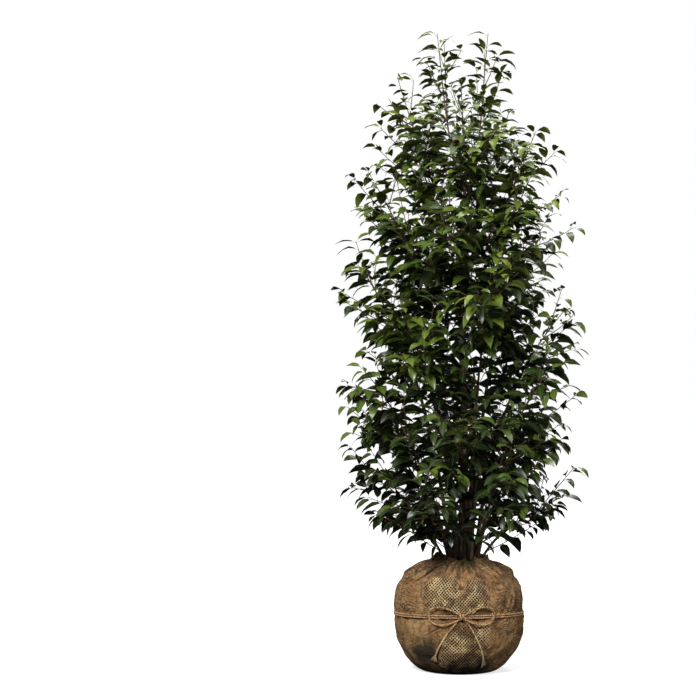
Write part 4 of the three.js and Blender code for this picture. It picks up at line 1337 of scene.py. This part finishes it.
def loop_path(share, hand):
    out = np.sin(math.pi * np.clip(share, 0, 1)) ** 1.15
    belly = TWINE.loop_height * np.sin(TURN * share)
    above = TWINE.loop_root * np.cos(math.pi * share) + belly + TWINE.loop_rise * out
    return on_wrap(hand * (KNOT_SIDE - 4 + (TWINE.loop_reach + 4) * out), above, BOW_STAND_OFF)


def tail_path(share, hand, reach, drop):
    along = hand * (TWINE.tail_root + reach * share**0.9)
    above = 4 - TWINE.knot_half - drop * share**1.15
    return on_wrap(along, above, STRAND_STAND_OFF + 1.5 * np.sin(math.pi * share))


def even_path(path, *values):
    """Points of a path at even distances, fine enough for the lay of the plies, and these distances."""
    rough = path(np.linspace(0, 1, 400), *values)
    far = np.concatenate([[0], np.cumsum(steps_of(rough))])
    places = np.linspace(0, far[-1], int(far[-1] / PLY.lay * PLY.steps_in_lay))
    return np.stack([np.interp(places, far, rough[:, i]) for i in range(3)], axis=1), places


def add_twine(build, points, far, material=0):
    side, other = (rows[0] for rows in sides_along(points[None]))
    turn = TURN * far / PLY.lay
    for ply in (0, math.pi):
        offset = side * np.cos(turn + ply)[:, None] + other * np.sin(turn + ply)[:, None]
        tubes(build, (points + PLY.offset * offset)[None], PLY.radius, PLY.sides, material)


def outward_at(point):
    return unit(point * np.array([1, 1, 0]))


def add_fray(build, points, rng):
    """The pale loose fibres that a tail's end spreads into."""
    end, heading = points[-1], unit(points[-1] - points[-12])
    outward = outward_at(end)
    sideways = np.cross(heading, outward)
    shares = np.linspace(0, 1, FRAY.points)[:, None]
    rows = []
    for fan in (np.arange(FRAY.strands) / (FRAY.strands - 1) - 0.5) * 2:
        length = FRAY.length * rng.uniform(0.75, 1.05)
        bow = sideways * fan * FRAY.spread * (shares**1.3 - 0.12 * np.sin(math.pi * shares))
        lie = outward * (rng.uniform(-1.2, 1.6) * shares - 0.8)
        start = end - heading * 9 + sideways * fan * 1.4
        rows.append(start + heading * length * shares + bow + lie)
    tubes(build, rows, np.linspace(FRAY.radius, FRAY.radius * 0.6, FRAY.points), 4, 1)


def ring_path(share, middle, sizes, slant):
    """A turn of twine round a bundle that runs level along the ball."""
    outward = outward_at(middle)
    turn = TURN * share[:, None]
    ring = middle + outward * sizes[0] * np.cos(turn) + UP * sizes[1] * np.sin(turn)
    return ring + np.cross(UP, outward) * slant * np.cos(turn + 1)


def add_bead(build, middle, sizes):
    """The core of a knot, under its turns."""
    rings = np.linspace(-1, 1, 11)
    shares = np.sqrt(np.clip(1 - rings**2, 0.004, 1))
    rows = middle + np.cross(UP, outward_at(middle)) * (rings * sizes[0])[:, None]
    tubes(build, rows[None], (shares * sizes[1])[None], 12, 0)


def dress_twine():
    rng = np.random.default_rng(SEED)
    looks = twine_materials()
    paths = {
        "twine_upper_strand": (strand_path, TWINE.strand_pitch / 2),
        "twine_lower_strand": (strand_path, -TWINE.strand_pitch / 2),
        "twine_left_loop": (loop_path, -1),
        "twine_right_loop": (loop_path, 1),
        "twine_left_tail": (tail_path, -1, *TWINE.left_tail),
        "twine_right_tail": (tail_path, 1, *TWINE.right_tail),
    }
    for node, path in paths.items():
        build = Build()
        points, far = even_path(*path)
        if path[0] is tail_path:
            pale = int(len(points) * FRAY.pale_from)
            add_twine(build, points[: pale + 1], far[: pale + 1])
            add_twine(build, points[pale:], far[pale:], 1)
            add_fray(build, points, rng)
        else:
            add_twine(build, points, far)
        made = build.piece(node + "_plies", looks)
        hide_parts(node)
    build = Build()
    add_bead(build, on_wrap(0.0, 0.0, KNOT.stand_off), KNOT.core)
    for shift, slant in KNOT.turns:
        add_twine(build, *even_path(ring_path, on_wrap(shift, 0.0, KNOT.stand_off), KNOT.turn, slant))
    for hand in (-1, 1):
        slant = hand * KNOT.binding_slant
        add_twine(build, *even_path(ring_path, on_wrap(*KNOT.binding), KNOT.binding_turn, slant))
    made = build.piece("twine_knot_turns", looks)
    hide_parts("twine_knot")


# Studio: pale floor, white surroundings, soft light

CAMERA = Sizes(place=(-0.335, -6.0, 0.973), sensor=36, lens=102.3)
FLOOR = Sizes(half=30, grey=(0.55, 0.55, 0.55), roughness=0.9)
# The floor glows more with the distance from the plant.
FLOOR_GLOW = {"From Min": 0.3, "From Max": 2.2, "To Min": 0.66, "To Max": 1.0}
# How strongly the white surroundings light the plant and how they look themselves.
SURROUNDINGS = {"To Min": 0.03, "To Max": 1.0}
# Name, place, size and power. All point at the plant's middle, a metre above the floor.
LIGHTS = (
    ("key_light", (-1.8, -4.0, 3.7), 1.3, 395),
    ("fill_light", (3.4, -2.8, 2.3), 2.0, 108),
    ("top_light", (0.3, 0.2, 4.8), 1.6, 128),
    ("back_light", (1.2, 3.8, 3.6), 1.8, 140),
    ("side_light", (-4.0, 0.6, 2.6), 1.8, 48),
)


def studio():
    scene = bpy.context.scene
    mesh = bpy.data.meshes.new("floor")
    corners = [(x * FLOOR.half, y * FLOOR.half, 0) for x, y in ((-1, -1), (1, -1), (1, 1), (-1, 1))]
    mesh.from_pydata(corners, [], [(0, 1, 2, 3)])
    floor = placed("floor", mesh)
    look = Look("pale_floor", FLOOR.grey, FLOOR.roughness)
    far = look.add("VectorMath", {0: look.place()}, "Value", operation="LENGTH")
    glow = look.add("MapRange", {"Value": far, **FLOOR_GLOW}, "Result")
    look.shade({"Emission Color": WHITE, "Emission Strength": glow})
    mesh.materials.append(look.material)
    floor.visible_diffuse = False
    floor.visible_glossy = False
    scene.world = bpy.data.worlds.new("studio")
    scene.world.use_nodes = True
    tree = scene.world.node_tree
    rays = add_node(tree, "LightPath", {}, "Is Camera Ray")
    strength = add_node(tree, "MapRange", {"Value": rays, **SURROUNDINGS}, "Result")
    feed(tree, tree.nodes["Background"], {"Color": WHITE, "Strength": strength})
    for name, place, size, power in LIGHTS:
        light = bpy.data.lights.new(name, "AREA")
        light.size = size
        light.energy = power
        lamp = placed(name, light, place)
        lamp.rotation_mode = "QUATERNION"
        lamp.rotation_quaternion = Vector(UP - np.array(place)).to_track_quat("-Z", "Y")
    camera = bpy.data.cameras.new("camera")
    camera.sensor_width = CAMERA.sensor
    camera.lens = CAMERA.lens
    scene.camera = placed("camera", camera, CAMERA.place)
    scene.camera.rotation_euler = (math.pi / 2, 0, 0)
    scene.view_settings.view_transform = "Standard"


dress_trunk()
dress_boughs()
dress_foliage()
dress_ball()
dress_open_mesh()
dress_twine()
studio()
